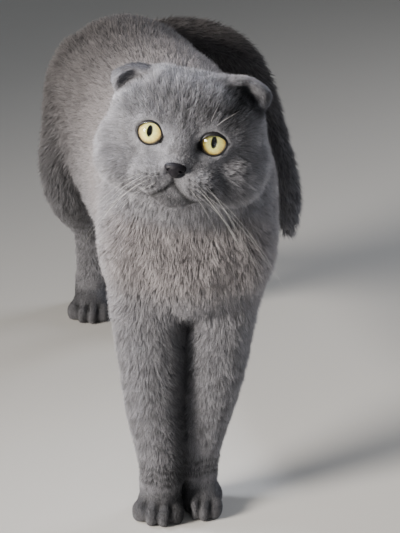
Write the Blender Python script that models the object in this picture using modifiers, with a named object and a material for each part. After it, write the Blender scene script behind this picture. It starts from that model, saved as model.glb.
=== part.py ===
"""A grey scottish fold cat standing with its forefeet together, as a still life-size model.

The cat faces -Y, with +X on its own left side, and stands on z = 0. Lengths are in metres, and the
driving dimensions below are in millimetres. The solids follow the outside of the coat. Flesh is
modelled in fused forms (body, head, ears and paws) and then parted into named pieces with thin cuts.
"""

import math

import bmesh
import bpy
from mathutils import Matrix, Vector
from mathutils.bvhtree import BVHTree

MM = 0.001
SEAM = 0.3
RING_SIDES = 24
LOFT_STEPS = 4
BODY_VOXEL, HEAD_VOXEL, PAW_VOXEL, EAR_VOXEL = 2.5, 1.5, 1.2, 1.0
BODY_TRIANGLES, HEAD_TRIANGLES, PAW_TRIANGLES, EAR_TRIANGLES = 4200, 2900, 560, 300
NOSE_VOXEL, NOSE_TRIANGLES = 0.7, 240

COAT = (0.31, 0.31, 0.33)
DARK_COAT = (0.10, 0.10, 0.11)
LEATHER = (0.035, 0.032, 0.036)
IRIS = (0.72, 0.55, 0.16)

# Trunk: middle of the section (x, y, z), half width and half height, from the chest to the rump.
# The spine bends towards the cat's right, so that the rump stands out beside the head.
TRUNK = (
    (3, 3, 208, 20, 22),
    (3, 10, 208, 42, 46),
    (3, 35, 213, 57, 66),
    (2, 80, 211, 62, 76),
    (-6, 130, 201, 62, 83),
    (-16, 180, 195, 62, 84),
    (-30, 230, 192, 61, 79),
    (-43, 275, 196, 62, 70),
    (-51, 315, 199, 57, 60),
    (-54, 345, 202, 43, 46),
    (-55, 366, 204, 22, 24),
)
NECK = (
    (2, 70, 240, 40, 40),
    (2, 50, 246, 52, 48),
    (2, 32, 256, 53, 50),
    (2, 14, 268, 50, 46),
    (2, 0, 280, 38, 36),
)
NAPE = ((1, 78, 250), (50, 60, 46))
BREAST = ((3, 36, 176), (48, 31, 36))
SHOULDER = ((3, 48, 195), 37, (25, 40, 48))
THIGH = ((-50, 296, 186), 36, (28, 48, 60))

# Tail: middle of the section and its radius, from the rump to the tip. It arches up to the cat's
# left and hangs there.
TAIL = (
    (-50, 326, 206, 24),
    (-44, 352, 213, 20),
    (-30, 371, 216.5, 19),
    (-6, 380, 215.5, 19.5),
    (19, 378, 211.5, 20),
    (37, 369, 202, 19.5),
    (49.5, 360, 187, 17.5),
    (59, 352, 169, 15.5),
    (66, 343, 146, 15.5),
    (74, 334, 122, 15.5),
    (79, 326, 100, 14),
    (80, 319, 84, 10.5),
    (79, 315, 73, 4.5),
)
TAIL_CUTS = (3, 6, 9)

# Forelegs: middle (x, y) of the section at height z, half width across and half depth fore and aft.
FORELEGS = {
    "right": (
        (-25, 46, 190, 24, 31),
        (-25, 43, 160, 26, 29),
        (-22, 39, 136, 26, 26),
        (-20, 34, 115, 23.5, 23),
        (-18.5, 29, 95, 21.5, 21),
        (-16.5, 24, 75, 19.5, 19),
        (-12.5, 19, 54, 17.5, 17),
        (-9.8, 15, 34, 15.8, 15),
        (-9.8, 13, 2, 15, 13.5),
    ),
    "left": (
        (30, 50, 190, 24, 31),
        (31, 48, 160, 25.5, 29),
        (28, 45, 136, 24.5, 26),
        (26.3, 42, 115, 23, 23),
        (24.5, 39, 95, 21, 20.5),
        (21.5, 37, 75, 18.5, 18.5),
        (18, 34, 54, 16, 16.5),
        (16, 31, 34, 14.3, 14.5),
        (16, 28, 2, 13.5, 13),
    ),
}
# The narrow gap between the forelegs: height, middle (x, y), turn in degrees and width.
LEG_GAP = (
    (-5, 5.5, 16, 25, 0.8),
    (30, 5.0, 20, 25, 1.0),
    (60, 3.5, 30, 15, 1.6),
    (90, 3.2, 35, 15, 1.6),
    (120, 3.4, 38, 15, 1.6),
    (146, 3.6, 42, 15, 1.6),
)
# Hind legs: out from the middle plane of the hips, y, z, half width and half depth.
HINDLEG = (
    (35, 296, 194, 24, 40),
    (41, 280, 164, 24, 38),
    (42, 278, 138, 22, 31),
    (38, 296, 112, 19, 24),
    (32, 320, 88, 16, 18.5),
    (27.5, 338, 68, 14.5, 16),
    (26, 341, 48, 14.5, 15),
    (25, 337, 28, 14.5, 15),
    (25, 332, 2, 14.5, 15),
)
HIP_MIDDLE_X = -50
HIND_STEP = {"right": 0, "left": -22}
SIDES = {"left": 1, "right": -1}

# Paws: middle (x, y), half width and turn about the upright, in degrees.
FOREPAWS = {"right": ((-10, 13), 19.5, -4), "left": ((19.5, 22), 16.5, -9)}
HINDPAW_OUT, HINDPAW_Y, HINDPAW_HALF_WIDTH, HINDPAW_TURN = 25.5, 319, 18, 6
PAW_BODY = ((0, 3, 9), (0.84, 17, 13))
TOES = ((-0.68, -8, 0.31), (-0.235, -13, 0.34), (0.235, -13, 0.34), (0.68, -8, 0.31))
TOE_LENGTH, TOE_HEIGHT, TOE_MIDDLE_Z = 9.5, 8.2, 6.2
PAW_SINK = 1.2
WRIST_Z, ELBOW_Z = 25, 84
HIND_WRIST_Z, KNEE_Z = 27, 110

# Head, in its own frame: x to the cat's left, y to the back, z up, from a point between the ears
# at the height of the eyes.
HEAD_ORIGIN = (1.6, -1.5, 292)
HEAD_PITCH_UP, HEAD_ROLL, HEAD_YAW = 10.0, 6.5, -6.0
CRANIUM = ((0, 2, 0.5), (49, 45, 34.3))
CROWN_SIDE = ((19, 1, 17.5), (20, 34, 18))
CHEEK = ((26.5, -8, -17), (30, 34, 28))
TEMPLE = ((25, -10, 3.5), (25, 33, 24))
FOREHEAD = ((0, -17, 10.5), (41, 28, 23.5))
BROW = ((19, -31, 11), (17, 13, 10))
MUZZLE = ((0, -33, -22), (33, 22, 20))
JOWL = ((27, -20, -24), (27, 26, 20))
WHISKER_PAD = ((12.5, -43.5, -24.5), (16, 14, 12))
CHIN = ((0, -39, -35.5), (14, 12.5, 10))
NOSE_BRIDGE = ((0, -34, 8, 13), (0, -41, -3, 12), (0, -45, -10, 11))
NOSE_END = ((0, -46, -13), (12, 9.5, 9))
EYE_MIDDLE, EYE_RADIUS, EYE_TURN_OUT, EYE_TURN_UP = (18.8, -36.5, 0), 10.5, 8, 3
EYE_OPENING, LID_RADIUS, LID_BULGE = (7.9, 7.6), 1.2, 2.0
NOSE_PAD = ((0, -54, -15.8), (7.2, 5.0, 4.0))
NOSE_FOOT = ((0, -54.5, -18.4), (3.6, 4.0, 4.0))
NOSTRIL = ((3.9, -58.2, -17.2), (1.5, 2.2, 1.0))
# Line of the mouth, from the foot of the nose to one corner: out and down from the eyes' height.
MOUTH = ((0, -20.5), (0, -25.5), (4.5, -30.5), (9.5, -35), (13.5, -39.5))
MOUTH_GROOVE = 0.8
EAR_MIDDLE = {"left": (34, -5, 28), "right": (36.8, -5, 24.6)}
EAR_RADII, EAR_LEAN = (16, 14, 10), 14
EAR_CUP = ((-2, -15, -1.5), (13, 13, 11.5))
EAR_TIP = ((9, -1, 2.5), (13.5, -2, 7.3))

# Planes that part the pieces: a point and the direction that counts as ahead.
NECK_CUT = ((2, 22, 267), (0, -0.61, 0.79))
CHEST_CUT = ((2, 75, 284), (0, -0.66, 0.75))
BELLY_CUT = ((-4, 122, 200), (0.15, -0.99, 0))
RUMP_CUT = ((-28, 228, 192), (0.24, -0.97, 0))
SHOULDER_CUT = ((0, 40, 136), (0, 0.2, 0.98))
THIGH_CUT = ((22, 290, 165), (0.83, 0, -0.55))


def mm(*values):
    """A vector whose values are given in millimetres."""
    return Vector(values) * MM


def clear_scene():
    for obj in list(bpy.data.objects):
        bpy.data.objects.remove(obj)


def new_collection(name):
    collection = bpy.data.collections.new(name)
    bpy.context.scene.collection.children.link(collection)
    return collection


def finish_material(name, colour, roughness):
    material = bpy.data.materials.new(name)
    material.use_nodes = True
    shader = material.node_tree.nodes["Principled BSDF"]
    shader.inputs["Base Color"].default_value = (*colour, 1)
    shader.inputs["Roughness"].default_value = roughness
    shader.inputs["Metallic"].default_value = 0
    return material


def object_of(bm, name):
    mesh = bpy.data.meshes.new(name)
    bm.to_mesh(mesh)
    bm.free()
    obj = bpy.data.objects.new(name, mesh)
    bpy.context.scene.collection.objects.link(obj)
    return obj


def ellipsoid(bm, centre, radii, turn=None, fineness=4):
    """Adds an ellipsoid, made from a ball of even triangles."""
    made = bmesh.ops.create_icosphere(bm, subdivisions=fineness, radius=1)
    place = Matrix.Translation(mm(*centre)) @ (turn or Matrix.Identity(4))
    place = place @ Matrix.Diagonal((*mm(*radii), 1))
    bmesh.ops.transform(bm, matrix=place, verts=made["verts"])


def between(stations):
    """Stations along a smooth curve through the given ones (Catmull-Rom)."""
    points = [Vector(s) for s in stations]
    found = []
    for i in range(len(points) - 1):
        a, b = points[i], points[i + 1]
        before = points[max(i - 1, 0)]
        after = points[min(i + 2, len(points) - 1)]
        for k in range(LOFT_STEPS):
            t = k / LOFT_STEPS
            linear = (b - before) * t
            square = (2 * before - 5 * a + 4 * b - after) * t**2
            cube = (3 * a - before - 3 * b + after) * t**3
            found.append(a + 0.5 * (linear + square + cube))
    return found + [points[-1]]


def loft(bm, stations, sides=RING_SIDES):
    """A closed tube of elliptical sections: x, y, z, half width across and half height."""
    path = between(stations)
    rings = []
    for i, station in enumerate(path):
        ahead = Vector(path[min(i + 1, len(path) - 1)][:3])
        along = (ahead - Vector(path[max(i - 1, 0)][:3])).normalized()
        reference = Vector((1, 0, 0)) if abs(along.x) < 0.8 else Vector((0, 1, 0))
        across = (reference - along * reference.dot(along)).normalized()
        upright = along.cross(across)
        ring = []
        for k in range(sides):
            turn = 2 * math.pi * k / sides
            offset = across * (station[3] * math.cos(turn)) + upright * (station[4] * math.sin(turn))
            ring.append(bm.verts.new((Vector(station[:3]) + offset) * MM))
        rings.append(ring)
    for first, second in zip(rings, rings[1:]):
        for k in range(sides):
            n = (k + 1) % sides
            bm.faces.new((first[k], first[n], second[n], second[k]))
    bm.faces.new(reversed(rings[0]))
    bm.faces.new(rings[-1])


def round_tube(bm, stations, sides=RING_SIDES):
    """A loft whose sections are round: x, y, z and radius."""
    loft(bm, [(*s[:3], s[3], s[3]) for s in stations], sides)


def apply_modifiers(obj):
    graph = bpy.context.evaluated_depsgraph_get()
    mesh = bpy.data.meshes.new_from_object(obj.evaluated_get(graph))
    obj.modifiers.clear()
    obj.data = mesh


def fuse(bm, name, voxel, smoothing, triangles):
    """Fuses overlapping closed shapes to one smooth skin of about that many triangles."""
    bmesh.ops.recalc_face_normals(bm, faces=bm.faces)
    obj = object_of(bm, name)
    remesh = obj.modifiers.new("fuse", "REMESH")
    remesh.mode = "VOXEL"
    remesh.voxel_size = voxel * MM
    smooth = obj.modifiers.new("smooth", "SMOOTH")
    smooth.factor = 0.5
    smooth.iterations = smoothing
    apply_modifiers(obj)
    decimate = obj.modifiers.new("thin_out", "DECIMATE")
    decimate.ratio = min(1, triangles / (2 * len(obj.data.polygons)))
    apply_modifiers(obj)
    return obj


def boolean(obj, other, operation):
    """Joins or cuts with another object, which is then removed."""
    modifier = obj.modifiers.new(operation.lower(), "BOOLEAN")
    modifier.operation = operation
    modifier.solver = "EXACT"
    modifier.object = other
    apply_modifiers(obj)
    bpy.data.objects.remove(other)


def slab(point, normal, size, thickness, offset):
    """A square slab whose middle lies at offset from the point along the normal."""
    normal = Vector(normal).normalized()
    bm = bmesh.new()
    turn = Vector((0, 0, 1)).rotation_difference(normal).to_matrix().to_4x4()
    place = Matrix.Translation(mm(*point) + normal * offset * MM) @ turn
    place = place @ Matrix.Diagonal((*mm(size, size, thickness), 1))
    bmesh.ops.create_cube(bm, size=1, matrix=place)
    return object_of(bm, "slab")


def copy_of(obj, name):
    twin = bpy.data.objects.new(name, obj.data.copy())
    bpy.context.scene.collection.objects.link(twin)
    return twin


def ahead_of(obj, point, normal, name=None):
    """Keeps what lies ahead of a plane, less half a seam."""
    depth = 900
    boolean(obj, slab(point, normal, 900, depth, (SEAM - depth) / 2), "DIFFERENCE")
    if name:
        obj.name = name
    return obj


def split(obj, point, normal, name, rest):
    """Parts an object at a plane: what lies ahead of it, and the rest behind."""
    behind = copy_of(obj, rest)
    backward = tuple(-n for n in normal)
    return ahead_of(obj, point, normal, name), ahead_of(behind, point, backward)


def islands(obj):
    """The separate closed surfaces of a mesh, largest first, each as a set of face indices."""
    bm = bmesh.new()
    bm.from_mesh(obj.data)
    bm.faces.ensure_lookup_table()
    seen, found = set(), []
    for face in bm.faces:
        if face.index in seen:
            continue
        stack, group = [face], {face.index}
        while stack:
            for edge in stack.pop().edges:
                for other in edge.link_faces:
                    if other.index not in group:
                        group.add(other.index)
                        stack.append(other)
        seen |= group
        found.append(group)
    bm.free()
    return sorted(found, key=len, reverse=True)


def piece_of(obj, faces, name):
    """A new object that holds only these faces of another."""
    bm = bmesh.new()
    bm.from_mesh(obj.data)
    bmesh.ops.delete(bm, geom=[f for f in bm.faces if f.index not in faces], context="FACES")
    return object_of(bm, name)


def keep_largest(obj):
    """Drops loose scraps that a cut has left."""
    found = islands(obj)
    if len(found) > 1:
        piece = piece_of(obj, found[0], "largest")
        obj.data = piece.data
        bpy.data.objects.remove(piece)
    return obj


def part_islands(obj, names, key):
    """Parts an object into its largest islands, named in the order of key at their middles."""
    pieces = [piece_of(obj, faces, "piece") for faces in islands(obj)[: len(names)]]
    bpy.data.objects.remove(obj)
    pieces.sort(key=lambda piece: key(middle_of(piece)))
    for piece, name in zip(pieces, names):
        piece.name = name
    return pieces


def middle_of(obj):
    points = [v.co for v in obj.data.vertices]
    return sum(points, Vector()) / len(points) / MM


def swollen(obj, by, name):
    """A copy whose surface stands out by some millimetres."""
    bm = bmesh.new()
    bm.from_mesh(obj.data)
    bm.normal_update()
    for v in bm.verts:
        v.co += v.normal * by * MM
    return object_of(bm, name)


def head_matrix():
    turn = Matrix.Rotation(math.radians(HEAD_YAW), 4, "Z")
    turn = turn @ Matrix.Rotation(math.radians(HEAD_ROLL), 4, "Y")
    turn = turn @ Matrix.Rotation(math.radians(-HEAD_PITCH_UP), 4, "X")
    return Matrix.Translation(mm(*HEAD_ORIGIN)) @ turn


def on_head(bm, start):
    """Moves the points made since start from the head's own frame to their place."""
    bm.verts.ensure_lookup_table()
    bmesh.ops.transform(bm, matrix=head_matrix(), verts=bm.verts[start:])


def flipped(point, side):
    return (side * point[0], *point[1:])


def add_skull(bm):
    start = len(bm.verts)
    ellipsoid(bm, *CRANIUM)
    for side in SIDES.values():
        ellipsoid(bm, flipped(CHEEK[0], side), CHEEK[1])
    on_head(bm, start)


def hindleg_stations(name):
    side = SIDES[name]
    return [(HIP_MIDDLE_X + side * s[0], s[1] + HIND_STEP[name], *s[2:]) for s in HINDLEG]


def leg_gap():
    """The wedge that keeps the forelegs apart."""
    bm = bmesh.new()
    rings = []
    for z, x, y, turn, width in LEG_GAP:
        spin = Matrix.Rotation(math.radians(turn), 3, "Z")
        corners = ((-1, -1), (1, -1), (1, 1), (-1, 1))
        ring = [spin @ Vector((a * width / 2, b * 50, 0)) + Vector((x, y, z)) for a, b in corners]
        rings.append([bm.verts.new(p * MM) for p in ring])
    for low, high in zip(rings, rings[1:]):
        for k in range(4):
            bm.faces.new((low[k], low[(k + 1) % 4], high[(k + 1) % 4], high[k]))
    bm.faces.new(reversed(rings[0]))
    bm.faces.new(rings[-1])
    bmesh.ops.recalc_face_normals(bm, faces=bm.faces)
    bmesh.ops.triangulate(bm, faces=bm.faces)
    return object_of(bm, "leg_gap")


def body_form():
    bm = bmesh.new()
    loft(bm, TRUNK)
    loft(bm, NECK)
    ellipsoid(bm, *NAPE)
    ellipsoid(bm, *BREAST)
    add_skull(bm)
    round_tube(bm, TAIL)
    for name, side in SIDES.items():
        loft(bm, FORELEGS[name])
        loft(bm, hindleg_stations(name))
        for (x, y, z), out, radii in (SHOULDER, THIGH):
            ellipsoid(bm, (x + side * out, y, z), radii)
    obj = fuse(bm, "body_form", BODY_VOXEL, 14, BODY_TRIANGLES)
    boolean(obj, leg_gap(), "DIFFERENCE")
    return obj


def paw_form(name, stations, place, half_width, turn, wrist_z):
    """A paw with four toes and a flat sole, and the end of its leg up to the wrist."""
    bm = bmesh.new()
    loft(bm, stations[-4:])
    start = len(bm.verts)
    centre, (width, length, height) = PAW_BODY
    ellipsoid(bm, centre, (width * half_width, length, height))
    for x, y, width in TOES:
        ellipsoid(bm, (x * half_width, y, TOE_MIDDLE_Z), (width * half_width, TOE_LENGTH, TOE_HEIGHT))
    bm.verts.ensure_lookup_table()
    matrix = Matrix.Translation(mm(*place, -PAW_SINK)) @ Matrix.Rotation(math.radians(turn), 4, "Z")
    bmesh.ops.transform(bm, matrix=matrix, verts=bm.verts[start:])
    obj = fuse(bm, name, PAW_VOXEL, 3, PAW_TRIANGLES)
    ahead_of(obj, (*place, -SEAM / 2), (0, 0, 1))
    ahead_of(obj, (*place, wrist_z), (0, 0, -1))
    return obj


def paws():
    made = []
    for name, side in SIDES.items():
        place, half_width, turn = FOREPAWS[name]
        made.append(paw_form(f"forepaw_{name}", FORELEGS[name], place, half_width, turn, WRIST_Z))
        place = (HIP_MIDDLE_X + side * HINDPAW_OUT, HINDPAW_Y + HIND_STEP[name])
        stations = hindleg_stations(name)
        turn = side * HINDPAW_TURN
        made.append(
            paw_form(f"hindpaw_{name}", stations, place, HINDPAW_HALF_WIDTH, turn, HIND_WRIST_Z)
        )
    boolean(made[0], leg_gap(), "DIFFERENCE")
    boolean(made[2], leg_gap(), "DIFFERENCE")
    return [keep_largest(obj) for obj in made]


def eye_matrix(side):
    """The eye's frame: -Y is the way it looks."""
    turn = Matrix.Rotation(math.radians(side * EYE_TURN_OUT), 4, "Z")
    turn = turn @ Matrix.Rotation(math.radians(-EYE_TURN_UP), 4, "X")
    return head_matrix() @ Matrix.Translation(mm(*flipped(EYE_MIDDLE, side))) @ turn


def eyeball(name, side, radius):
    bm = bmesh.new()
    bmesh.ops.create_uvsphere(bm, u_segments=22, v_segments=12, radius=radius * MM)
    to_front = Matrix.Rotation(math.radians(90), 4, "X")
    bmesh.ops.transform(bm, matrix=eye_matrix(side) @ to_front, verts=bm.verts)
    return object_of(bm, name)


def opening_radius(angle, side):
    """Edge of the eye's opening: nearly round, with a corner by the nose."""
    across, upright = math.cos(angle) * side, math.sin(angle)
    edge = 1 / math.hypot(across / EYE_OPENING[0], upright / EYE_OPENING[1])
    inner = max(0, -across * 0.93 - upright * 0.37)
    outer = max(0, across * 0.97 + upright * 0.24)
    return edge * (1 + 0.2 * inner**12 + 0.08 * outer**12)


def eye_rim(side, tube, count=28, sides=6):
    """The lids: a rounded rim that follows the edge of the opening on the eyeball."""
    bm = bmesh.new()
    rings = []
    for i in range(count):
        angle = 2 * math.pi * i / count
        out = Vector((math.cos(angle), 0, math.sin(angle)))
        edge = opening_radius(angle, side) + tube * 0.6
        depth = math.sqrt(max(EYE_RADIUS**2 - edge**2, 0)) + tube * 0.2
        ring = []
        for k in range(sides):
            t = 2 * math.pi * k / sides
            point = out * (edge + tube * math.cos(t)) + Vector((0, -depth - tube * math.sin(t), 0))
            ring.append(bm.verts.new(point * MM))
        rings.append(ring)
    for i in range(count):
        first, second = rings[i], rings[(i + 1) % count]
        for k in range(sides):
            n = (k + 1) % sides
            bm.faces.new((first[k], first[n], second[n], second[k]))
    bmesh.ops.recalc_face_normals(bm, faces=bm.faces)
    bmesh.ops.transform(bm, matrix=eye_matrix(side), verts=bm.verts)
    return object_of(bm, "eye_rim")


def eye_window(side, count=28):
    """The cutter of the opening between the lids."""
    bm = bmesh.new()
    rings = []
    for depth in (2, 20):
        ring = []
        for i in range(count):
            angle = 2 * math.pi * i / count
            out = Vector((math.cos(angle), 0, math.sin(angle))) * opening_radius(angle, side)
            ring.append(bm.verts.new((out + Vector((0, -depth, 0))) * MM))
        rings.append(ring)
    for i in range(count):
        n = (i + 1) % count
        bm.faces.new((rings[0][i], rings[0][n], rings[1][n], rings[1][i]))
    bm.faces.new(reversed(rings[0]))
    bm.faces.new(rings[1])
    bmesh.ops.recalc_face_normals(bm, faces=bm.faces)
    bmesh.ops.transform(bm, matrix=eye_matrix(side), verts=bm.verts)
    return object_of(bm, "eye_window")


def nose_form():
    bm = bmesh.new()
    ellipsoid(bm, *NOSE_PAD, fineness=3)
    ellipsoid(bm, *NOSE_FOOT, fineness=3)
    on_head(bm, 0)
    return fuse(bm, "nose", NOSE_VOXEL, 4, NOSE_TRIANGLES)


def cut_nostrils(nose):
    for side in SIDES.values():
        bm = bmesh.new()
        turn = Matrix.Rotation(math.radians(side * 25), 4, "Y")
        ellipsoid(bm, flipped(NOSTRIL[0], side), NOSTRIL[1], turn, fineness=2)
        on_head(bm, 0)
        boolean(nose, object_of(bm, "nostril"), "DIFFERENCE")
    return nose


def cut_mouth(head):
    """A thin groove on the face: down from the nose, and out to both corners of the mouth."""
    place = head_matrix()
    forward = place.to_3x3() @ Vector((0, 1, 0))
    tree = BVHTree.FromObject(head, bpy.context.evaluated_depsgraph_get())
    lines = [MOUTH[:2]]
    lines += [[(side * x, z) for x, z in MOUTH[1:]] for side in SIDES.values()]
    for line in lines:
        stations = []
        for i, (x, z) in enumerate(line):
            hit = tree.ray_cast(place @ mm(x, -110, z), forward)[0] / MM
            stations.append((*hit, MOUTH_GROOVE * (0.5 if i == len(line) - 1 else 1)))
        bm = bmesh.new()
        round_tube(bm, stations, sides=6)
        bmesh.ops.recalc_face_normals(bm, faces=bm.faces)
        boolean(head, object_of(bm, "groove"), "DIFFERENCE")


def head_form():
    bm = bmesh.new()
    loft(bm, NECK)
    add_skull(bm)
    start = len(bm.verts)
    ellipsoid(bm, *FOREHEAD)
    ellipsoid(bm, *MUZZLE)
    ellipsoid(bm, *CHIN)
    ellipsoid(bm, *NOSE_END)
    round_tube(bm, NOSE_BRIDGE)
    for side in SIDES.values():
        for centre, radii in (CROWN_SIDE, TEMPLE, BROW, JOWL, WHISKER_PAD):
            ellipsoid(bm, flipped(centre, side), radii)
        ellipsoid(bm, flipped(EYE_MIDDLE, side), (EYE_RADIUS + LID_BULGE,) * 3)
    on_head(bm, start)
    return fuse(bm, "head", HEAD_VOXEL, 14, HEAD_TRIANGLES)


def ear_form(side_name):
    """A small ear folded forward and down: a hood over its cup, with a blunt tip to the outside."""
    name, side = "ear_" + side_name, SIDES[side_name]
    bm = bmesh.new()
    ellipsoid(bm, (0, 0, 0), EAR_RADII)
    tip = [(*flipped(p, side), r) for p, r in zip(EAR_TIP, (5.5, 1.6))]
    halfway = [(a + b) / 2 for a, b in zip(*tip)]
    round_tube(bm, (tip[0], halfway, tip[1]))
    ear = fuse(bm, name, EAR_VOXEL, 4, EAR_TRIANGLES)
    cup = bmesh.new()
    ellipsoid(cup, flipped(EAR_CUP[0], side), EAR_CUP[1], fineness=3)
    boolean(ear, object_of(cup, "ear_cup"), "DIFFERENCE")
    turn = Matrix.Rotation(math.radians(side * EAR_LEAN), 4, "Y")
    middle = flipped(EAR_MIDDLE[side_name], side)
    ear.data.transform(head_matrix() @ Matrix.Translation(mm(*middle)) @ turn)
    return ear


def face_parts(head):
    """Cuts the eyes' openings, the bed of the nose and the mouth into the head."""
    for side in SIDES.values():
        boolean(head, eye_rim(side, LID_RADIUS), "UNION")
    for side in SIDES.values():
        boolean(head, eye_window(side), "DIFFERENCE")
        boolean(head, eyeball("socket", side, EYE_RADIUS + SEAM), "DIFFERENCE")
    eyes = [eyeball(f"eye_{name}", side, EYE_RADIUS) for name, side in SIDES.items()]
    cut_mouth(head)
    nose = nose_form()
    boolean(head, swollen(nose, SEAM, "nose_bed"), "DIFFERENCE")
    cut_nostrils(nose)
    keep_largest(head)
    return [*eyes, nose]


def tail_parts(body):
    """Parts the tail into three lengths, and returns the body without it."""
    path = [Vector(s[:3]) for s in TAIL]
    for i in TAIL_CUTS:
        along = path[i + 1] - path[i - 1]
        boolean(body, slab(path[i], along, 50, SEAM, 0), "DIFFERENCE")
    found = islands(body)
    lengths = [piece_of(body, faces, "length") for faces in found[1:4]]
    lengths.sort(key=lambda piece: middle_of(piece).x)
    for piece, name in zip(lengths, ("tail_base", "tail_middle", "tail_tip")):
        piece.name = name
    return keep_largest(body), lengths


def body_parts(body):
    """Parts the fused body with planes into neck, trunk and the lengths of the legs."""
    body, tail = tail_parts(body)
    ahead_of(body, NECK_CUT[0], [-n for n in NECK_CUT[1]])
    neck, rest = split(body, *CHEST_CUT, "neck", "rest")
    chest, rest = split(rest, *BELLY_CUT, "chest", "rest")
    abdomen, rump = split(rest, *RUMP_CUT, "abdomen", "rump")
    chest, forelegs = split(chest, *SHOULDER_CUT, "chest", "forelegs")
    rump, hindlegs = split(rump, (0, 0, KNEE_Z), (0, 0, 1), "rump", "hindlegs")
    made = [neck, chest, abdomen, *tail]
    names = ("right", "left")
    for legs, kind, bend_z, wrist_z in (
        (forelegs, "foreleg", ELBOW_Z, WRIST_Z),
        (hindlegs, "hindleg", None, HIND_WRIST_Z),
    ):
        for leg, name in zip(part_islands(legs, names, lambda m: m.x), names):
            ahead_of(leg, (0, 0, wrist_z), (0, 0, 1))
            if bend_z:
                made += split(leg, (0, 0, bend_z), (0, 0, 1), f"{kind}_upper_{name}", "rest")
            else:
                made.append(leg)
            made[-1].name = f"{kind}_lower_{name}"
    for name, side in SIDES.items():
        (out, y, z), (nx, ny, nz) = THIGH_CUT
        point = (HIP_MIDDLE_X + side * out, y, z)
        thigh, rump = split(rump, point, (side * nx, ny, nz), f"thigh_{name}", "rest")
        made.append(thigh)
    rump.name = "rump"
    return [keep_largest(obj) for obj in [*made, rump]]


def dress(pieces, material):
    for obj in pieces:
        obj.data.materials.clear()
        obj.data.materials.append(material)
        obj.data.shade_smooth()
        obj.data.set_sharp_from_angle(angle=math.radians(50))


def stand_at_origin(pieces):
    """Places the whole cat with the middle of its outline's box over the origin, soles on z = 0."""
    corners = [v.co for obj in pieces for v in obj.data.vertices]
    low = Vector([min(c[i] for c in corners) for i in range(3)])
    high = Vector([max(c[i] for c in corners) for i in range(3)])
    middle = (low + high) / 2
    for obj in pieces:
        obj.location = (-middle.x, -middle.y, -low.z)


def main():
    clear_scene()
    head = head_form()
    ears = [ear_form(name) for name in SIDES]
    ahead_of(head, *NECK_CUT)
    bed = swollen(head, SEAM, "head_bed")
    for ear in ears:
        boolean(ear, copy_of(bed, "bed"), "DIFFERENCE")
        keep_largest(ear)
    bpy.data.objects.remove(bed)
    *eyes, nose = face_parts(head)
    flesh = [head, *ears, *body_parts(body_form())]
    feet = paws()
    dress(flesh, finish_material("grey_coat", COAT, 0.9))
    dress(feet, finish_material("dark_coat", DARK_COAT, 0.9))
    dress(eyes, finish_material("eye", IRIS, 0.05))
    dress([nose], finish_material("nose_leather", LEATHER, 0.4))
    pieces = [*flesh, *feet, *eyes, nose]
    cat = new_collection("scottish_fold_cat")
    for obj in pieces:
        bpy.context.scene.collection.objects.unlink(obj)
        cat.objects.link(obj)
    stand_at_origin(pieces)


if __name__ == "__main__":
    main()
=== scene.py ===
import itertools
import math

import bmesh
import bpy
import numpy as np
from mathutils import Matrix, Vector
from mathutils.bvhtree import BVHTree
from mathutils.kdtree import KDTree


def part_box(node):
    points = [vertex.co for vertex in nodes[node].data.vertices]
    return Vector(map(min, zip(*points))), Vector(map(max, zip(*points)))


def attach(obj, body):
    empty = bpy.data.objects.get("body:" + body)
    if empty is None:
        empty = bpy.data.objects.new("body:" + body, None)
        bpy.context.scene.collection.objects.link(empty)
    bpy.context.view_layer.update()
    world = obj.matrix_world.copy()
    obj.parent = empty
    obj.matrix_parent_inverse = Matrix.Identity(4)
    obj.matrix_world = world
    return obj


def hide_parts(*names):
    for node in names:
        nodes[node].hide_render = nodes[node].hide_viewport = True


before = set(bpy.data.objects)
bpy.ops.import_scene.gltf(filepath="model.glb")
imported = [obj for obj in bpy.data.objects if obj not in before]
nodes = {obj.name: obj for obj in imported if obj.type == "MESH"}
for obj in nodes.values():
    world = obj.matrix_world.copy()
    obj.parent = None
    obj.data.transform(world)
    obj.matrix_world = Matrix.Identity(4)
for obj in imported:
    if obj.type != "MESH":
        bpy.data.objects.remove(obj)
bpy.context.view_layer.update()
scene = bpy.context.scene
mm = 0.001
floorGap = 0.0002  # the soles and the lowest locks stay this far above the floor
sideSigns = {"left": 1, "right": -1}
pieces = {}


def report(text):
    print("cat:", text, flush=True)


# Small helpers

def linearColour(code):  # sRGB hex to linear, with alpha
    values = [int(code[i : i + 2], 16) / 255 for i in (1, 3, 5)]
    return [v / 12.92 if v <= 0.04045 else ((v + 0.055) / 1.055) ** 2.4 for v in values] + [1]


def fillInputs(tree, node, inputs):  # sockets are linked, nodes by their first output, hex turned linear
    for key, value in inputs.items():
        if isinstance(value, bpy.types.Node):
            value = value.outputs[0]
        if isinstance(value, bpy.types.NodeSocket):
            tree.links.new(value, node.inputs[key])
        else:
            isColour = isinstance(value, str) and value.startswith("#")
            node.inputs[key].default_value = linearColour(value) if isColour else value
    return node


def addNode(tree, kind, settings=None, inputs=None):
    node = tree.nodes.new(kind)
    for name, value in (settings or {}).items():
        setattr(node, name, value)
    return fillInputs(tree, node, inputs or {})


# settings that many nodes share
adding, subtracting, multiplying, raising, scaling, normalising = (
    {"operation": kind} for kind in ("ADD", "SUBTRACT", "MULTIPLY", "POWER", "SCALE", "NORMALIZE"))
floatData, vectorData, colourData = ({"data_type": kind} for kind in ("FLOAT", "FLOAT_VECTOR", "RGBA"))


def smoothStep(values, low, high):  # 0 at low, 1 at high; low may be the larger
    t = np.clip((np.asarray(values, float) - low) / (high - low), 0, 1)
    return t * t * (3 - 2 * t)


def growing(values, least, low, high):  # from a least share at low to 1 at high
    return least + (1 - least) * smoothStep(values, low, high)


def window(values, low, lowFull, highFull, high):  # 1 from lowFull to highFull, 0 past low and high
    return smoothStep(values, low, lowFull) * smoothStep(values, high, highFull)


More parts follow.
